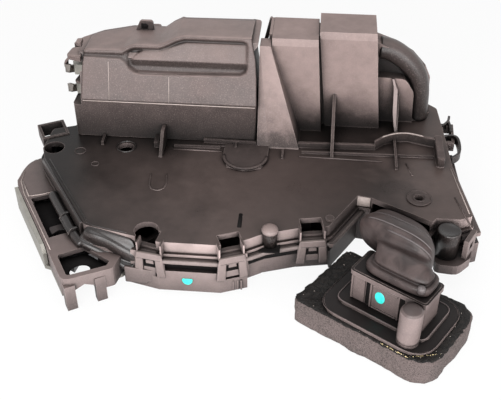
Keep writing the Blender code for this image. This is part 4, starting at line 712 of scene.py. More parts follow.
# %% The outline of the recess
LEAN, LEAN_START, FRONT = 0.36, 19.0, 42.0
lean_angle = math.atan(LEAN)
RECESS = [(-80, 40.1), (-61.4, 40.3), (-59.3, 41.6), (-56, 42.8), (-45, 42.9), (-42.6, 43.6), (-37, 46.2),
          (-33.5, 47.2), (-7.6, 47.2), (-5.6, 46.2), (-4.9, 44.5), (-4.9, 35.4), (-5.8, 33.0), (-8.3, 31.7),
          (-31, 31.1), (-53, 30.8), (-56.1, 31.4), (-58.4, 32.9), (-60.2, 35.2), (-62.4, 36.8), (-80, 37.1)]
CREST = [(-57, 38.3), (-52, 40.9), (-44, 41.2), (-36.5, 43.8), (-33, 44.8), (0, 44.9)]
PROUD, NOTCH_DEPTH, FLOOR_DEPTH = 0.9, 0.82, 1.8
NOTCH_END, RECESS_END = -59.4, -5.2


def along(points, x):
    """The value at x of a line through points (x, value), sorted by x."""
    for (x0, v0), (x1, v1) in zip(points, points[1:]):
        if x <= x1:
            return v0 + (v1 - v0) * max(0.0, (x - x0) / (x1 - x0))
    return points[-1][1]


def soft(value):
    value = max(0.0, min(1.0, value))
    return value * value * (3 - 2 * value)


def inside_by(x, z):
    """How far a place is inside the outline of the recess, and less than 0 outside it."""
    nearest, crossings = 1e9, 0
    for (x0, z0), (x1, z1) in zip(RECESS, RECESS[1:] + RECESS[:1]):
        run, rise = x1 - x0, z1 - z0
        part = max(0.0, min(1.0, ((x - x0) * run + (z - z0) * rise) / (run * run + rise * rise)))
        nearest = min(nearest, math.hypot(x - x0 - run * part, z - z0 - rise * part))
        if (z0 > z) != (z1 > z) and x < x0 + run * (z - z0) / rise:
            crossings += 1
    return nearest if crossings % 2 else -nearest


print("the middle of the recess is", round(inside_by(-30, 38), 1), "mm inside its outline")

# %% How deep and how dark each place is
def depth_at(x, z):
    """How far the skin lies behind the leaning wall, in millimetres."""
    sunk = soft((inside_by(x, z) - 0.25) / 1.5)
    if x < NOTCH_END:
        return -PROUD + sunk * NOTCH_DEPTH
    crest = along(CREST, x)
    floor = along([(34.6, 1.8), (37.3, -0.15), (crest, 0.75), (crest + 0.9, 1.9), (60, 1.9)], z)
    floor = FLOOR_DEPTH + (floor - FLOOR_DEPTH) * soft((x + 59.0) / 3.0) * soft((RECESS_END - x) / 0.6)
    return -PROUD + sunk * (NOTCH_DEPTH + (PROUD + floor - NOTCH_DEPTH) * soft((x - NOTCH_END) / 1.6))


def dark_at(x, z):
    """1 on the walls of the recess and below its strip, where no light gets in, and 0 outside it."""
    walls = soft((inside_by(x, z) - 0.1) / 0.8)
    strip = soft((z - 36.9) / 0.6) * soft((along(CREST, x) + 0.4 - z) / 0.6)
    strip = strip * soft((x + 58.2) / 0.8) * soft((RECESS_END - x) / 0.6)
    return walls * (1 - strip) * (1 - 0.4 * soft((35.0 - z) / 1.2))


def on_wall(x, z, depth):
    """A place behind the leaning wall, or in front of it where the depth is less than 0."""
    return plan(x, FRONT + LEAN * (z - LEAN_START) + depth * math.cos(lean_angle), z - depth * math.sin(lean_angle))


print("depth in the recess (mm):", round(depth_at(-30, 33.5), 2), "on the strip:", round(depth_at(-30, 40), 2))

# %% The skin's points, over front and roof
UPPER = [(-80, 40.6), (-61.4, 40.8), (-59.3, 42.1), (-56, 43.3), (-45, 43.4), (-42.6, 44.1), (-37, 46.7),
         (-33.5, 47.7), (0, 47.7)]
BACK = [(-79, 66.0), (-74, 70.8), (-61, 76.8), (-42, 77.1), (-36, 74.0), (-1, 74.8)]
ROOF = [(-80, 39.72), (-46, 39.72), (-37.3, 46.12), (0, 46.12)]
LEFT_EDGE = [(19, -80.2), (27.7, -79.6), (36.2, -79.0), (40, -78.4), (48, -78.0)]
RIGHT_EDGE = [(19, -1.0), (31, -1.4), (39.2, -2.1), (44.9, -3.5), (48, -4.0)]
COLUMNS, ROWS, ROOF_ROWS = 128, 64, 8
SKIN_FOOT, FOOT_DEPTH, ROOF_CROWN = 19.3, 0.3, 0.25
skin = bmesh.new()
# Each point of the skin carries a painted shade value, from dark_at, for the recess.
painted = skin.verts.layers.float.new("sunk")
grid = []
for column in range(COLUMNS + 1):
    share = column / COLUMNS
    line, sunk = [], []
    top = along(UPPER, along(LEFT_EDGE, 40) * (1 - share) + along(RIGHT_EDGE, 44) * share)
    for row in range(ROWS + 1):
        z = SKIN_FOOT + (top - SKIN_FOOT) * row / ROWS
        x = along(LEFT_EDGE, z) * (1 - share) + along(RIGHT_EDGE, z) * share
        sunk.append(dark_at(x, z))
        line.append(on_wall(x, z, depth_at(x, z) if row else FOOT_DEPTH))
    edge_y, x = FRONT + LEAN * (top - LEAN_START), line[-1].x / MM + DATUM.x
    back, roof = along(BACK, x), along(ROOF, x)
    for row in range(1, ROOF_ROWS + 1):
        part = row / ROOF_ROWS
        line.append(plan(x, edge_y + (back - edge_y) * part,
                         top + ROOF_CROWN * math.sin(math.pi * part) + (roof - top) * part))
    line.append(plan(x, back + 0.05, roof - 1.2))
    grid.append([skin.verts.new(place) for place in line])
    for vert, value in zip(grid[-1], sunk):
        vert[painted] = value
print("points of the skin:", len(skin.verts))

# %% The skin's faces, and a hem at each end
HEM_OUT, HEM_BACK, HEM_DOWN = 0.0012, 0.0016, 0.0006
for one, two in zip(grid, grid[1:]):
    for row in range(len(one) - 1):
        skin.faces.new((one[row], two[row], two[row + 1], one[row + 1]))
for line, way in ((grid[0], 1), (grid[-1], -1)):
    hem = [skin.verts.new(vert.co + Vector((HEM_OUT * way, HEM_BACK, -HEM_DOWN))) for vert in line]
    for row in range(len(line) - 1):
        skin.faces.new((line[row], line[row + 1], hem[row + 1], hem[row]))
piece("motor_cover_skin", skin, "drive_cover_plastic")
print("skin:", COLUMNS * (ROWS + ROOF_ROWS), "squares")

# %% [markdown]
# ## Lines that the mould left
# Where the parts of a mould meet, a fine line stays on the plastic: two run up the front wall and one along
# its foot. They are painted pale, as a highlight. A bump could draw them, but thin bodies catch the light at every
# angle and stay in the exported mesh.

# %% Lines on the motor cover
mould_lines = bmesh.new()
for x, low, high in ((-40.3, 20.0, 30.6), (-67.4, 20.0, 36.0)):
    lofted([[on_wall(x, z, -0.95) + Vector((a * MM, b * MM, 0))
             for a, b in ((-0.2, 0.2), (0.2, 0.2), (0.12, -0.12), (-0.12, -0.12))] for z in (low, high)], mould_lines)
seam = [plan(x, FRONT - 0.35, 19.25) for x in (-79.6, -60.0, -40.0, -20.0, -1.6)]
piece("mould_lines", swept(seam, disc(0.26), mould_lines), "painted_highlight")
print("the seam is", round((seam[-1] - seam[0]).length / MM, 1), "mm long")

# %% [markdown]
# ## Hooks for the cables
# At the left end two levers come out below hoods of the motor cover. Their bent ends take the cable eyes.
# The real ends are folded sheet, so each gets a curled lip of its own that moves with its lever.

# %% Curled lever ends and their hoods
def curl(name, z, body):
    path = places([(-84.0, 55.6, z - 1.6), (-86.0, 53.6, z - 1.0), (-87.2, 50.6, z + 0.4), (-87.0, 48.2, z + 2.4),
                   (-86.0, 47.0, z + 3.2), (-84.8, 46.8, z + 3.0)])
    return piece(name, swept(flowing(path), slat(1.2, 3.4)), "lever_zinc", body, edge=0.2)


curl("outside_lever_curl", 19.6, "outside_lever")
curl("inside_lever_curl", 29.6, "inside_lever")
hoods = bmesh.new()
for low, high, reach in ((36.6, 38.8, -86.2), (25.0, 26.0, -84.0)):
    raised(eased([(reach, 47.4, 2.0), (-79.4, 45.2, 0), (-79.4, 56.0, 0), (reach + 1.2, 55.0, 2.0)]), low, high,
           plan, hoods)
path = places([(-79.5, 48.0, 38.4), (-83.4, 48.0, 38.2), (-86.4, 48.4, 35.6), (-87.0, 48.8, 32.0),
               (-86.4, 49.0, 29.6)])
swept(flowing(path), slat(2.0, 1.1), hoods)
raised(eased([(-81.2, 48.0, 0.8), (-78.8, 47.0, 0), (-78.8, 52.0, 0), (-81.2, 51.4, 0.8)]), 43.2, 45.2, plan, hoods)
piece("lever_hoods", hoods, "drive_cover_plastic", edge=0.3)
print("hooks:", [thing.name for thing in ADDED if "curl" in thing.name])

# %% [markdown]
# ## Cable hooks on the right edge
# Two open hooks hold the harness along the right edge. Each is a narrow strip bent like a claw.

# %% Right edge hooks
def claw(shape, points, wide=3.2, thick=1.1):
    return swept(flowing(places(points), 4), slat(thick, wide), shape)


hooks = bmesh.new()
claw(hooks, [(83.5, 66.0, -2.6), (86.4, 66.4, -1.6), (88.4, 68.4, -0.4), (88.9, 71.0, 0.8)])
claw(hooks, [(88.4, 68.4, -0.6), (89.0, 65.2, -1.2), (89.2, 61.4, -2.0)])
claw(hooks, [(84.5, 57.2, -2.8), (88.0, 57.4, -2.2), (91.0, 55.2, -1.4), (92.0, 50.4, -2.2), (91.4, 45.4, -3.6),
             (88.0, 42.6, -4.6)], 4.0, 1.3)
piece("right_edge_hooks", hooks, "shell_plastic", edge=0.25)
stop = eased([(79.9, 30.2, 1.0), (83.1, 30.2, 1.0), (83.1, 48.6, 1.0), (79.9, 48.6, 1.0)])
piece("stop_cap", raised(stop, 4.2, 4.75), "cover_plastic", edge=0.25)

# %% [markdown]
# ## The connector's face
# The front of the connector has a narrow panel, a wide framed panel and ribs, all raised by half a millimetre.
# A thin line runs round the block on the flange, and the guide peg has a domed head. The tester's dot of
# paint is a low drop, thicker in the middle than at its rim.

# %% Panels and slots
PANEL_LOW, PANEL_HIGH = -10.1, 1.7


def on_face(low, high, out, shape=None):
    """A raised panel on the connector's front, between two corners (along, height)."""
    return block((low[0], high[0]), (-6.0 - out, -5.8), (low[1], high[1]), plug, shape)


def strips(pairs, out, shape=None):
    """Panels of full height, each from a start to an end along the front."""
    for start, end in pairs:
        shape = on_face((start, PANEL_LOW), (end, PANEL_HIGH), out, shape)
    return shape


panels = on_face((-8.4, -10.0), (-2.9, 1.6), 0.4)
strips([(-8.8, -7.9)], 0.75, panels)
on_face((-0.6, -10.0), (12.1, 1.6), 0.35, panels)
strips([(-0.6, 0.3), (11.2, 12.1)], 0.8, panels)
on_face((0.5, 0.7), (11.0, PANEL_HIGH), 0.8, panels)
on_face((0.5, PANEL_LOW), (11.0, -9.2), 0.8, panels)
strips([(14.1, 15.2), (16.2, 17.2), (20.4, 21.8)], 0.8, panels)
piece("connector_panels", panels, "connector_plastic", edge=0.25)
slots = strips([(-2.5, -0.8), (12.3, 14.0), (15.3, 16.1), (17.3, 20.3)], 0.06)
piece("connector_slots", slots, "deep_shadow")
print("panels are", round(PANEL_HIGH - PANEL_LOW, 1), "mm high")

# %% Lines round the block and the rim, and the guide peg
for name, corners, steps, z, radius, finish in (
        ("flange_line", [(-13.2, -10.2, 4), (25.0, -10.2, 4), (25.0, 12.2, 4), (-13.2, 12.2, 4)], 8, -10.15, 0.3,
         "connector_panel_edge"),
        ("flange_rim", [(-17.7, -16.7, 8.7), (29.2, -16.7, 9.7), (29.2, 15.7, 8.7), (-17.7, 15.7, 5.7)], 10, -11.25,
         0.28, "connector_plastic")):
    line = [plug(x, y, z) for x, y in eased(corners, steps)]
    piece(name, swept(line, disc(radius), closed=True), finish)
peg = turned(19.5, -11.7, ((4.24, -10.1), (4.24, -9.0), (4.24, 1.6), (4.24, 3.0), (4.05, 3.8), (3.4, 4.6), (2.2, 5.1),
                           (0.8, 5.25)), plug, 32)
piece("peg_skin", peg, "peg_plastic")
print("connector pieces:", [thing.name for thing in ADDED[-5:]])

# %% A drop of paint
UPWARD = Vector((0, 0, MM))


def dot(middle, along_way, up_way, out_way, wide, tall, flat_top=0.0):
    """A drop of paint on a wall: a low dome of rings. Its top can be cut off straight."""
    rings = []
    for size, out in ((0.98, -0.15), (1.0, 0.03), (0.93, 0.12), (0.7, 0.17), (0.35, 0.19)):
        rings.append([middle + along_way * wide * size * math.cos(angle)
                      + up_way * min(tall * size * math.sin(angle), tall - flat_top)
                      + out_way * out * MM for angle in around(28)])
    return lofted(rings)


plug_along = (plug(1, 0, 0) - plug(0, 0, 0)).normalized() * MM
plug_out = (plug(0, -1, 0) - plug(0, 0, 0)).normalized()
piece("paint_dot_connector", dot(plug(3.7, -6.36, -3.5), plug_along, UPWARD, plug_out, 2.1, 2.75), "teal_paint")
print("the dot is", 2 * 2.75, "mm high")

# %% [markdown]
# ## The cable boot
# The real boot is one soft moulding: a thick bar that snaps over the connector, a leaning neck, and a wide
# hood that folds over and dives under the cover. It is lofted here from rows of numbers: the middle and half
# length of each ring along the connector, then where the ring's front and back lie, and last how square it is. A
# smooth curve is run through the rows, so that the folds are round. It takes the place of the model's plain elbow.

# %% The rings of the boot
BOOT_ROWS = [(7.6, 12.9, -4.6, 4.25, 7.6, 4.25, 0.5), (7.6, 13.4, -5.3, 4.9, 8.1, 4.9, 0.5),
             (7.6, 13.4, -5.3, 6.9, 8.1, 6.9, 0.5), (7.7, 12.7, -4.5, 7.7, 7.4, 7.7, 0.5),
             (7.9, 11.5, -2.7, 7.6, 6.2, 7.6, 0.5), (7.9, 11.5, -2.6, 9.2, 6.2, 8.8, 0.5),
             (6.9, 11.4, 0.2, 11.6, 6.8, 8.4, 0.55), (5.6, 11.4, 3.0, 12.9, 8.6, 6.6, 0.6),
             (3.9, 11.8, 5.8, 12.2, 10.4, 4.0, 0.65), (1.6, 13.4, 7.8, 12.6, 11.6, 0.6, 0.7),
             (-0.9, 15.5, 9.0, 15.4, 13.4, -2.4, 0.72), (-2.2, 16.2, 11.4, 16.5, 15.4, -3.2, 0.72),
             (-3.2, 15.7, 16.6, 15.1, 17.6, -3.4, 0.72), (-4.4, 14.8, 20.6, 12.2, 21.5, -4.4, 0.7),
             (-6.2, 13.9, 25.4, 9.0, 25.0, -6.2, 0.65), (-8.8, 12.8, 31.4, 5.2, 29.0, -8.6, 0.62),
             (-11.8, 12.0, 37.4, 0.2, 36.0, -15.6, 0.62), (-15.6, 11.4, 45.0, -6.0, 44.4, -16.2, 0.62)]
BOOT_POINTS = 44


def boot_place(row, angle, out=0.0):
    """A place on a ring of the boot, or that far outside it."""
    middle, half, front, front_z, back, back_z, square = row
    long_way = math.copysign(abs(math.cos(angle)) ** square, math.cos(angle))
    short_way = math.copysign(abs(math.sin(angle)) ** square, math.sin(angle))
    thick = math.hypot(back - front, back_z - front_z) / 2
    short_way *= 1 + out / thick
    return plug(middle + (half + out) * long_way, (front + back) / 2 + (back - front) / 2 * short_way,
                (front_z + back_z) / 2 + (back_z - front_z) / 2 * short_way)


boot_rings = [[boot_place(row, angle) for angle in around(BOOT_POINTS)]
              for row in flowing([Vector(row) for row in BOOT_ROWS], 4)]
boot = piece("cable_boot_skin", lofted(boot_rings), "rubber")
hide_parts("cable_boot")
print("rings of the boot:", len(boot_rings))

# %% Ridges and lug of the boot
def boot_line(row, start, end, radius, steps=16):
    """A thin moulded ridge that follows a ring of the boot between two angles in degrees."""
    path = [boot_place(BOOT_ROWS[row], math.radians(start + (end - start) * step / steps), 0.05)
            for step in range(steps + 1)]
    return swept(path, disc(radius), tip=0.3)


# The ridges and the lug are raised, and their paler rubber is a painted highlight.
for number, (row, start, end, radius) in enumerate(((10, 262, 346, 0.3), (11, 226, 338, 0.26), (13, 204, 330, 0.22))):
    piece(f"boot_ridge_{number + 1}", boot_line(row, start, end, radius), "rubber_highlight")
lug = turned(18.3, -3.9, ((1.5, 6.4), (1.5, 8.2), (1.25, 8.7), (0.7, 8.95), (0.2, 9.0)), plug, 20)
piece("boot_lug", lug, "rubber_highlight")
print("ridges:", [thing.name for thing in ADDED[-4:]])

# %% [markdown]
# ## The foam seal
# The seal is cut from a sheet of open-cell foam, so its walls are wavy and a little rough, and a black film is
# stuck on top. The film is ragged at the rim and wrinkled beyond the flange. Each is a grid of rings round the
# hole in the middle: the wall from the bottom up, then the top, then the hole, back to where it began.

# %% Places round the seal
FOAM_OUTLINE = [(-27.6, -19.0, 3), (33.7, -19.0, 12), (33.7, 20.0, 10), (-26.0, 19.0, 3)]
FOAM_HOLE, HOLE_MIDDLE = ((-9.3, 22.1), (-6.3, 7.1)), Vector((6.4, 0.4))
FOAM_LOW, FOAM_HIGH, FILM_HEIGHT = -24.0, -12.85, -12.8


def close_points(outline, step):
    """The outline walked in equal short steps."""
    walked = []
    for index, here in enumerate(outline):
        after = outline[(index + 1) % len(outline)]
        count = max(1, round((after - here).length / step))
        walked += [here + (after - here) * part / count for part in range(count)]
    return walked


def at_hole(place):
    """Where the line from a place to the middle crosses the edge of the hole."""
    way = place - HOLE_MIDDLE
    reach = min((FOAM_HOLE[axis][way[axis] > 0] - HOLE_MIDDLE[axis]) / way[axis] for axis in (0, 1)
                if abs(way[axis]) > 1e-6)
    return HOLE_MIDDLE + way * reach


def inward(place, distance):
    """The place moved towards the middle of the seal."""
    return place + (HOLE_MIDDLE - place).normalized() * distance


def wavy(place, scale, layer):
    """Noise at a place of the outline; the layer chooses which noise."""
    return noise.noise(Vector((place.x * scale, place.y * scale, layer)))


foam_edge = close_points(eased(FOAM_OUTLINE, 10), 1.3)
print("points round the foam:", len(foam_edge))

# %% The foam
foam_rings = []
for z in (FOAM_LOW, -23.6, -21.5, -19.5, -17.5, -15.5, -13.6, FOAM_HIGH):
    tuck = 0.5 if z in (FOAM_LOW, FOAM_HIGH) else 0.0
    foam_rings.append([])
    for place in foam_edge:
        wave = wavy(place, 0.12, z * 0.03) * 0.9
        wave += wavy(place, 0.7, z * 0.5) * 0.35
        foam_rings[-1].append(plug(*inward(place, tuck + 0.55 + wave), z))
foam_rings += [[plug(*at_hole(place), z) for place in foam_edge] for z in (FOAM_HIGH, FOAM_LOW)]
seal = piece("foam_seal", lofted(foam_rings, closed=True), "foam")
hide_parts("connector_seal")
print("rings of the foam:", len(foam_rings))

# %% The film
film_rings = [[], [], [], [], []]
for place in foam_edge:
    ragged = 0.75 + 0.8 * wavy(place, 0.9, 3.0) + 0.5 * wavy(place, 3.1, 9.0)
    for ring, (move, lift) in enumerate(((0.0, 0.0), (0.5, 0.35), (1.9, 0.5), (3.6, 0.4))):
        crumple = abs(wavy(place, 1.1, ring * 4.0)) * 1.5 * lift
        film_rings[ring].append(plug(*inward(place, max(0.2, ragged) + move), FILM_HEIGHT + lift * 0.3 + crumple))
    film_rings[4].append(plug(*inward(at_hole(place), -0.4), -12.6))
film_under = [[point - Vector((0, 0, 0.12 * MM)) for point in ring] for ring in reversed(film_rings)]
piece("foam_film", lofted(film_rings + film_under, closed=True), "film")
print("rings of the film:", len(film_rings + film_under))

# %% Bits stuck to the film
CRUMBS, GLUE_BITS = 46, 70
draw = random.Random(7)
crumbs, glue = bmesh.new(), bmesh.new()


def crumb(shape, place, size):
    """A chip with three corners at its foot and one on top, turned at random."""
    turn = draw.uniform(0, math.tau)
    feet = [place + Vector((math.cos(turn + side), math.sin(turn + side), 0)) * size * MM * draw.uniform(0.6, 1.3)
            for side in (0.0, 2.1, 4.2)]
    corners = [shape.verts.new(foot) for foot in feet + [place + Vector((0, 0, size * 0.7 * MM))]]
    for one, two, three in ((0, 2, 1), (0, 1, 3), (1, 2, 3), (2, 0, 3)):
        shape.faces.new((corners[one], corners[two], corners[three]))


for count in range(CRUMBS):
    edge_place = foam_edge[draw.randrange(len(foam_edge))]
    crumb(crumbs, plug(*inward(edge_place, draw.uniform(0.8, 5.5)), -12.45), draw.uniform(0.12, 0.3))
for count in range(GLUE_BITS):
    spread = draw.random()
    edge_place = Vector((12.0 + 20.0 * spread, -18.0 + 9.0 * max(0.0, spread - 0.55) / 0.45 + 0.4 * draw.random()))
    crumb(glue, plug(*edge_place, -12.5), draw.uniform(0.14, 0.34))
piece("crumbs", crumbs, "crumb")
piece("glue_bits", glue, "glue")
print("bits on the film:", CRUMBS + GLUE_BITS)

# %% [markdown]
# ## Clips on the front
# Each cover clip is an arch of plastic, wider at its feet, that snaps over a wedge on the tray. The window in
# it is dark, with the nose of the wedge and a cross bar showing. Thin cheeks stand on both sides of the deep
# pocket above. Every clip has its own ruler, so that the three are made by one function.

# %% A ruler for each clip
CLIP_PLACES = {"left": (-39.5, -28.5, -10.0), "middle": (-5.0, -28.0, 21.8), "right": (26.5, -15.7, 10.9)}
CLIP_SHIFT = {"left": 2.4, "middle": -0.9, "right": -0.3}
CLIP_FACE, CLIP_BACK, ARCH_FACE = -3.25, -2.85, -4.25


def clip_ruler(name):
    """A ruler whose first axis runs along the wall at a clip, and whose second points into the housing."""
    x0, y0, turn = CLIP_PLACES[name]

    def ruler(x, y, z):
        return turned_place(Vector((x0, y0)), math.radians(turn), x + CLIP_SHIFT[name], y, z)
    return ruler


print("the left clip starts at", clip_ruler("left")(0, 0, 0))

# %% The three clips
for name in CLIP_PLACES:
    ruler = clip_ruler(name)
    window = upright_plate([(-3.4, -13.0), (3.4, -13.0), (3.0, -6.0), (-3.0, -6.0)], CLIP_FACE - 0.12,
                           CLIP_FACE + 0.5, ruler)
    piece(f"clip_window_{name}", window, "deep_shadow")
    arch = upright_plate([(-5.2, -3.9), (5.2, -3.9), (5.6, -6.9), (-5.6, -6.9)], ARCH_FACE, CLIP_BACK, ruler)
    for side in (-1, 1):
        leg = [(side * 5.6, -6.9), (side * 2.4, -6.9), (side * 2.9, -16.0), (side * 6.6, -15.6)]
        upright_plate(leg[::side], ARCH_FACE, CLIP_BACK, ruler, arch)
    piece(f"clip_arch_{name}", arch, "clip_plastic", edge=0.5)
    nose = upright_plate([(-1.6, -9.6), (1.9, -9.6), (1.7, -7.6), (-1.4, -7.6)], CLIP_FACE - 0.45, CLIP_BACK, ruler)
    upright_plate([(-2.9, -14.6), (2.9, -14.6), (2.7, -11.4), (-2.6, -11.4)], CLIP_FACE - 0.3, CLIP_BACK, ruler, nose)
    piece(f"clip_nose_{name}", nose, "clip_plastic", edge=0.25)
    cheeks = bmesh.new()
    for side in (-1, 1):
        block(sorted((side * 4.6, side * 5.3)), (-3.3, 1.2), (-6.3, 0.35), ruler, cheeks)
    piece(f"clip_cheeks_{name}", cheeks, "cover_plastic", edge=0.2)
print("clips:", ", ".join(CLIP_PLACES))

# %% [markdown]
# ## Front wall and tray
# Between the clips the front shows a pale wall, a dark line, a bright ridge, a black recess and the tray's wall.
# The recess is lined with a dark strip here, because on the real part no light gets in. A round stud stands in
# a niche between two of the clips, and the arm of the latch carrier runs along the tray's wall at the left.

# %% Recess lining and ridge
FRONT_WALL = [(-47.0, -26.6), (-34.0, -30.0), (-10.0, -30.0), (0.0, -26.0), (7.0, -21.5), (20.0, -17.0),
              (33.0, -14.5), (45.0, 7.0)]
wall_run = [plan(x, y, 0.0) for x, y in FRONT_WALL]
lining = [(1.25, -12.1), (1.5, -12.1), (1.5, -8.4), (1.25, -8.4)]
piece("recess_lining", swept(wall_run, lining), "deep_shadow")
ridge = [(3.2, -8.2), (3.8, -7.9), (3.9, -7.2), (3.5, -6.6), (2.9, -6.4), (2.6, -7.2)]
piece("front_ridge", swept(wall_run[1:], ridge), "clip_plastic", edge=0.15)
print("corners of the front wall:", len(wall_run))

# %% The stud in its niche
STUD_X, STUD_Y = 9.6, -20.9
stud = turned(STUD_X, STUD_Y, ((3.0, -5.6), (3.0, -1.0), (3.1, 0.4), (2.9, 1.6), (2.3, 2.5), (1.4, 3.0), (0.4, 3.2)))
piece("round_stud", stud, "shell_plastic")
# Painted highlight: a paler dome on the stud's top stands for the light that it catches.
dome = turned(STUD_X, STUD_Y, ((3.3, 1.0), (3.45, 1.7), (3.1, 2.6), (2.4, 3.3), (1.4, 3.7), (0.4, 3.8)))
piece("stud_highlight_dome", dome, "wedge_plastic")
piece("stud_niche", block((5.7, 13.9), (-25.4, -19.0), (-6.6, -5.9)), "deep_shadow", edge=0.1)
print("stud and niche:", [thing.name for thing in ADDED[-3:]])

# %% Teal dot, carrier arm and ribs of the tray
tray_dot = dot(plan(-22.6, -33.62, -16.4), Vector((MM, 0, 0)), UPWARD, Vector((0.0, -1.0, 0.0)), 2.1, 2.4, 1.6)
piece("paint_dot_tray", tray_dot, "teal_paint")
ARM_OUTLINE = [(-12.5, -20.6), (-3.6, -20.6), (-3.0, -19.6), (0.6, -19.6), (0.6, -13.4), (-4.6, -13.0), (-12.5, -12.2)]
arm = upright_plate(ARM_OUTLINE, 0.0, 2.4, lambda x, y, z: plan(-36.0 + x, -32.9 + y - 0.05 * x, z))
piece("carrier_arm", arm, "carrier_plastic", edge=0.4)
ribs = bmesh.new()
for x in (-4.6, -2.9, -1.4):
    block((x, x + 0.7), (-33.9 + 0.4 * (x + 10), -31.0), (-22.3, -17.2), plan, ribs)
piece("tray_ribs", ribs, "tray_plastic", edge=0.2)
print("tray pieces:", [thing.name for thing in ADDED[-3:]])

# %% [markdown]
# ## Inside the latch head
# Through the two windows of the carrier the real lock shows almost nothing but shade, and one
# bright oval where the striker's way goes right through. A thin dark lining under the roof is painted shade that gives
# that depth, and the roof gets the fine raised line, painted pale as a highlight, and the rounder corner that the
# moulding has.

# %% Linings behind the two windows
LINING_LOW, LINING_HIGH, ROOF_HEIGHT = -13.0, -12.6, -8.6
REAR_WINDOW = [(1.4, 26.6), (13.6, 26.6), (13.6, 57.4), (1.4, 57.8)]
piece("rear_window_lining", raised(REAR_WINDOW, LINING_LOW, LINING_HIGH, head), "deep_shadow")
POCKET = [(1.8, 1.2), (18.8, 0.3), (21.3, 2.6), (14.4, 16.2), (1.8, 16.2)]


def toward(x, y, angle):
    """Where a ray from a place crosses the outline of the front window."""
    way, best = Vector((math.cos(angle), math.sin(angle))), 99.0
    for (x0, y0), (x1, y1) in zip(POCKET, POCKET[1:] + POCKET[:1]):
        run = Vector((x1 - x0, y1 - y0))
        cross = way.x * run.y - way.y * run.x
        if abs(cross) > 1e-9:
            reach = ((x0 - x) * run.y - (y0 - y) * run.x) / cross
            share = ((x0 - x) * way.y - (y0 - y) * way.x) / cross
            if reach > 0 and -1e-6 <= share <= 1 + 1e-6:
                best = min(best, reach)
    return x + way.x * best, y + way.y * best


OVAL_X, OVAL_Y, OVAL_LONG, OVAL_SHORT = 9.1, 7.2, 4.2, 3.1
outer_ring = [toward(OVAL_X, OVAL_Y, angle) for angle in around(40)]
oval = [(OVAL_X + OVAL_LONG * math.cos(angle), OVAL_Y + OVAL_SHORT * math.sin(angle)) for angle in around(40)]
window_rings = [[head(x, y, z) for x, y in ring] for ring, z in
                ((outer_ring, LINING_LOW), (outer_ring, LINING_HIGH), (oval, LINING_HIGH), (oval, LINING_LOW))]
piece("front_window_lining", lofted(window_rings, closed=True), "deep_shadow")
print("linings:", [thing.name for thing in ADDED[-2:]])

# %% Roof lines and corner of the carrier
# The roof lines are raised; their pale colour is a painted highlight.
roof_lines = bmesh.new()
for radius, points in ((0.3, ((2.7, 70.9), (2.4, 58.8), (8.0, 57.6), (13.4, 57.4))),
                       (0.24, ((1.2, 20.0), (1.2, 40.0), (1.0, 62.0), (2.0, 71.0), (5.4, 78.0)))):
    swept([head(x, y, ROOF_HEIGHT) for x, y in points], disc(radius), roof_lines)
piece("roof_lines", roof_lines, "painted_highlight")
bulge = flowing([Vector(place) for place in ((0.3, 55.0), (-0.5, 61.0), (-0.5, 66.0), (0.8, 71.8), (3.9, 77.9),
                                             (8.4, 83.2), (12.6, 85.4))], 4)
inner_side = [place + Vector((3.0, -2.0)) for place in reversed(bulge)]
piece("carrier_corner", raised(bulge + inner_side, -17.6, -8.75, head), "carrier_plastic", edge=0.3)
print("head pieces:", [thing.name for thing in ADDED[-4:]])

# %% [markdown]
# ## The arch, the blade and the leaning plate
# Right of the compartments the cover swells into a thick round tube that bends over a shallow bowl. It is a
# fat section carried along the arch. The blade in front of it and the thin plate at the gap are small lofts.

# %% The tube
ARCH = [(53.0, 35.8), (58.2, 34.7), (63.4, 31.6), (68.0, 27.3), (71.5, 22.0), (73.3, 15.2), (74.0, 7.0), (74.2, 0.6)]
BACKWARD = Vector((0, 1, 0))
arch_line = flowing([plan(x, 72.6, z) for x, z in ARCH])
tube_rings = []
for index, here in enumerate(arch_line):
    before, after = arch_line[max(index - 1, 0)], arch_line[min(index + 1, len(arch_line) - 1)]
    across = (after - before).normalized().cross(BACKWARD).normalized()
    swell = 5.1 - 0.7 * index / len(arch_line)
    tube_rings.append([here + (across * swell * math.cos(angle) + BACKWARD * 5.5 * math.sin(angle)) * MM
                       for angle in around(18)])
piece("arch_tube", lofted(tube_rings), "arch_shaded_plastic")
print("rings of the tube:", len(tube_rings))

# %% The bowl and the fold over it
BOWL = [(50.6, 0.6), (74.0, 0.6), (73.6, 12.0), (71.6, 21.0), (67.6, 27.6), (62.4, 32.6), (56.0, 35.6), (50.6, 36.2)]
BOWL_X, BOWL_Z = 58.0, 14.0
bowl_rings = [[plan(BOWL_X + (x - BOWL_X) * share, deep, BOWL_Z + (z - BOWL_Z) * share) for x, z in BOWL]
              for share, deep in ((0.25, 72.6), (0.5, 72.2), (0.72, 71.9), (0.9, 72.2), (1.0, 73.0))]
bowl_rings.append([plan(x, 75.0, z) for x, z in BOWL])
piece("arch_bowl", lofted(bowl_rings), "arch_shaded_plastic")
fold = flowing([plan(x, 69.6, z) for x, z in ((51.0, 38.4), (55.0, 38.0), (59.4, 36.8), (63.0, 34.8))], 4)
piece("arch_fold", swept(fold, disc(0.8, 10), tip=0.4), "arch_shaded_plastic")
print("rings of the bowl:", len(bowl_rings))

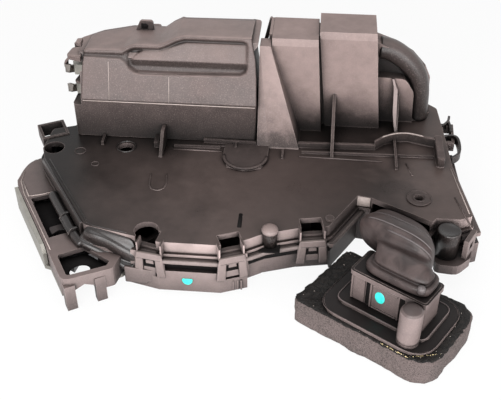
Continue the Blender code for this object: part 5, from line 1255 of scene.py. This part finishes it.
# %% Blade and leaning plate
blade = lofted([places([(x - w, front, z), (x + w, front, z), (x + w, 66.7, z), (x - w, 66.7, z)])
                for z, x, w, front in ((-0.2, 63.2, 0.7, 55.0), (4.5, 62.3, 0.7, 57.6), (8.6, 61.9, 0.95, 59.6),
                                       (19.0, 61.5, 0.95, 63.4), (20.4, 61.0, 0.6, 64.4), (23.5, 60.0, 0.55, 65.4))])
piece("blade_rib", blade, "wedge_plastic", edge=0.2)
leaning = upright_plate([(-1.4, 30.5), (0.4, 30.5), (4.0, 45.6), (3.2, 47.2), (2.3, 46.4)], 75.6, 76.9, plan)
piece("leaning_plate", leaning, "wedge_plastic", edge=0.15)
print("right side pieces:", [thing.name for thing in ADDED[-5:]])

# %% [markdown]
# ## Small things on the cover
# A loop for a cable tie stands at the back of the roof, and a fin stands on the plate in front of it. The hole
# beside it has a collar, and the post at the right front is a dark, dished screw post.

# %% Roof loop, fin and collar
loop = [(-59.6, 39.4), (-57.2, 44.6), (-56.2, 45.2), (-51.8, 45.2), (-51.0, 44.4), (-50.6, 39.8)]
piece("roof_loop", upright_plate(loop, 70.8, 72.4, plan), "drive_cover_plastic", edge=0.3)
opening = [(-56.6, 41.2), (-53.8, 41.2), (-53.2, 42.8), (-54.2, 43.8), (-56.4, 43.8)]
piece("roof_loop_opening", upright_plate(opening, 70.6, 71.2, plan), "deep_shadow")
fin = raised([(27.2, -0.3), (41.6, -0.3), (41.6, 8.4), (36.4, 8.4), (28.6, 1.2)], -43.9, -42.3,
             lambda y, z, x: plan(x, y, z))
piece("front_fin", fin, "cover_plastic", edge=0.25)
COLLAR_X, COLLAR_Y = -59.8, 34.4
collar = bead_line(ring_of(COLLAR_X, COLLAR_Y, 4.3), 0.7, 0.5, closed=True)
for place in ring_of(COLLAR_X, COLLAR_Y, 3.5, -0.5, steps=12):
    swept([place, place + Vector((0, 0, 0.7 * MM))], disc(0.42, 6), collar)
piece("hole_collar", collar, "shell_plastic")
print("on the cover:", [thing.name for thing in ADDED[-4:]])

# %% Screw post, slot and fine lines
post = turned(81.6, -11.8, ((4.8, -12.9), (4.8, -1.2), (4.6, -0.6), (4.1, -0.35), (3.7, -0.6), (0.4, -0.66)), steps=32)
piece("screw_post", post, "shell_plastic")
slot = raised(eased([(-3.9, -18.4, 0.4), (-2.1, -18.4, 0.4), (-2.3, -9.4, 0.4), (-3.9, -9.4, 0.4)]), -0.6, 0.08)
piece("plate_slot", slot, "deep_shadow")
# Painted highlight: a thin pale body on the lit wall of the notch.
notch = raised([(44.9, 6.6), (50.3, 5.6), (50.3, 6.0), (44.9, 7.0)], -5.4, -0.25)
piece("notch_highlight_face", notch, "painted_highlight")
# Painted highlights: pale lines where the light catches the top of the hump and the right edge of the plate.
behind = places([(56.0, 45.6, 4.5), (61.6, 48.9, 4.5), (68.0, 49.9, 4.5), (75.0, 47.8, 4.5)])
painted_gloss_lines = swept(flowing(behind), disc(0.3), tip=0.1)
swept(places([(85.9, 30.0, 0.0), (88.4, 13.0, 0.0), (90.6, -1.6, 0.0)]), disc(0.26), painted_gloss_lines)
piece("painted_gloss_lines", painted_gloss_lines, "painted_highlight")
print("small things:", [thing.name for thing in ADDED[-4:]])

# %% [markdown]
# ## Floor, light and background
# A product picture has no visible horizon. The floor is plain and pale, and takes the soft shadow. What the
# camera sees of the world, and what the shiny faces mirror, is white; the light that falls on the lock is gentler.

# %% Stage
FLOOR_HALF, FLOOR_BELOW, FLOOR_WHITENESS, WHITE = 3.0, 0.0002, 0.9, (1.0, 1.0, 1.0)
floor_shape = bmesh.new()
floor_height = CAD_LOW.z - FLOOR_BELOW
middle = (CAD_LOW + CAD_HIGH) / 2
corners = [floor_shape.verts.new((middle.x + x * FLOOR_HALF, middle.y + y * FLOOR_HALF, floor_height))
           for x, y in ((-1, -1), (1, -1), (1, 1), (-1, 1))]
floor_shape.faces.new(corners)
floor_mesh = bpy.data.meshes.new("floor")
floor_shape.to_mesh(floor_mesh)
floor = placed("floor", floor_mesh)

ground = Finish("floor_paint", (0.86, 0.86, 0.86), 0.7)
glow = ground.node("ShaderNodeEmission", None, {"Color": WHITE, "Strength": 1.0})
matt = Flow(ground.tree, ground.shader.outputs[0])
mixed = ground.node("ShaderNodeMixShader", None, {0: ground.seen() * FLOOR_WHITENESS, 1: matt, 2: glow})
ground.tree.links.new(mixed.socket, ground.tree.nodes["Material Output"].inputs["Surface"])
floor_mesh.materials.append(ground.material)
print("floor at", round(floor_height / MM, 2), "mm")

# %% Light
AMBIENT = 0.2
world = bpy.data.worlds.new("studio")
bpy.context.scene.world = world
world.use_nodes = True
sky, backdrop = Flow(world.node_tree), world.node_tree.nodes["Background"]
sky.put(backdrop.inputs["Color"], WHITE)
sky.put(backdrop.inputs["Strength"], AMBIENT + sky.seen() * (1.0 - AMBIENT))


def lamp(name, place, aim, size, watts):
    """A soft square lamp that looks at a place; places are in millimetres in the plan."""
    light = bpy.data.lights.new(name, "AREA")
    light.shape, light.size, light.energy, light.color = "SQUARE", size, watts, WHITE
    thing = placed(name, light)
    thing.location = plan(*place)
    thing.rotation_euler = (plan(*aim) - plan(*place)).to_track_quat("-Z", "Y").to_euler()


lamp("key", (-120, -620, 260), (0, 0, 0), 0.5, 7.0)
lamp("fill", (420, -420, 200), (20, 10, 0), 0.4, 2.4)
lamp("top", (-60, 60, 620), (0, 20, 0), 0.5, 1.6)
bpy.context.scene.view_settings.view_transform = "Standard"

# %% [markdown]
# ## The last update
# The view layer is updated once more. The dressed lock has to stay inside the box of the model.

# %% Update the view layer
bpy.context.view_layer.update()
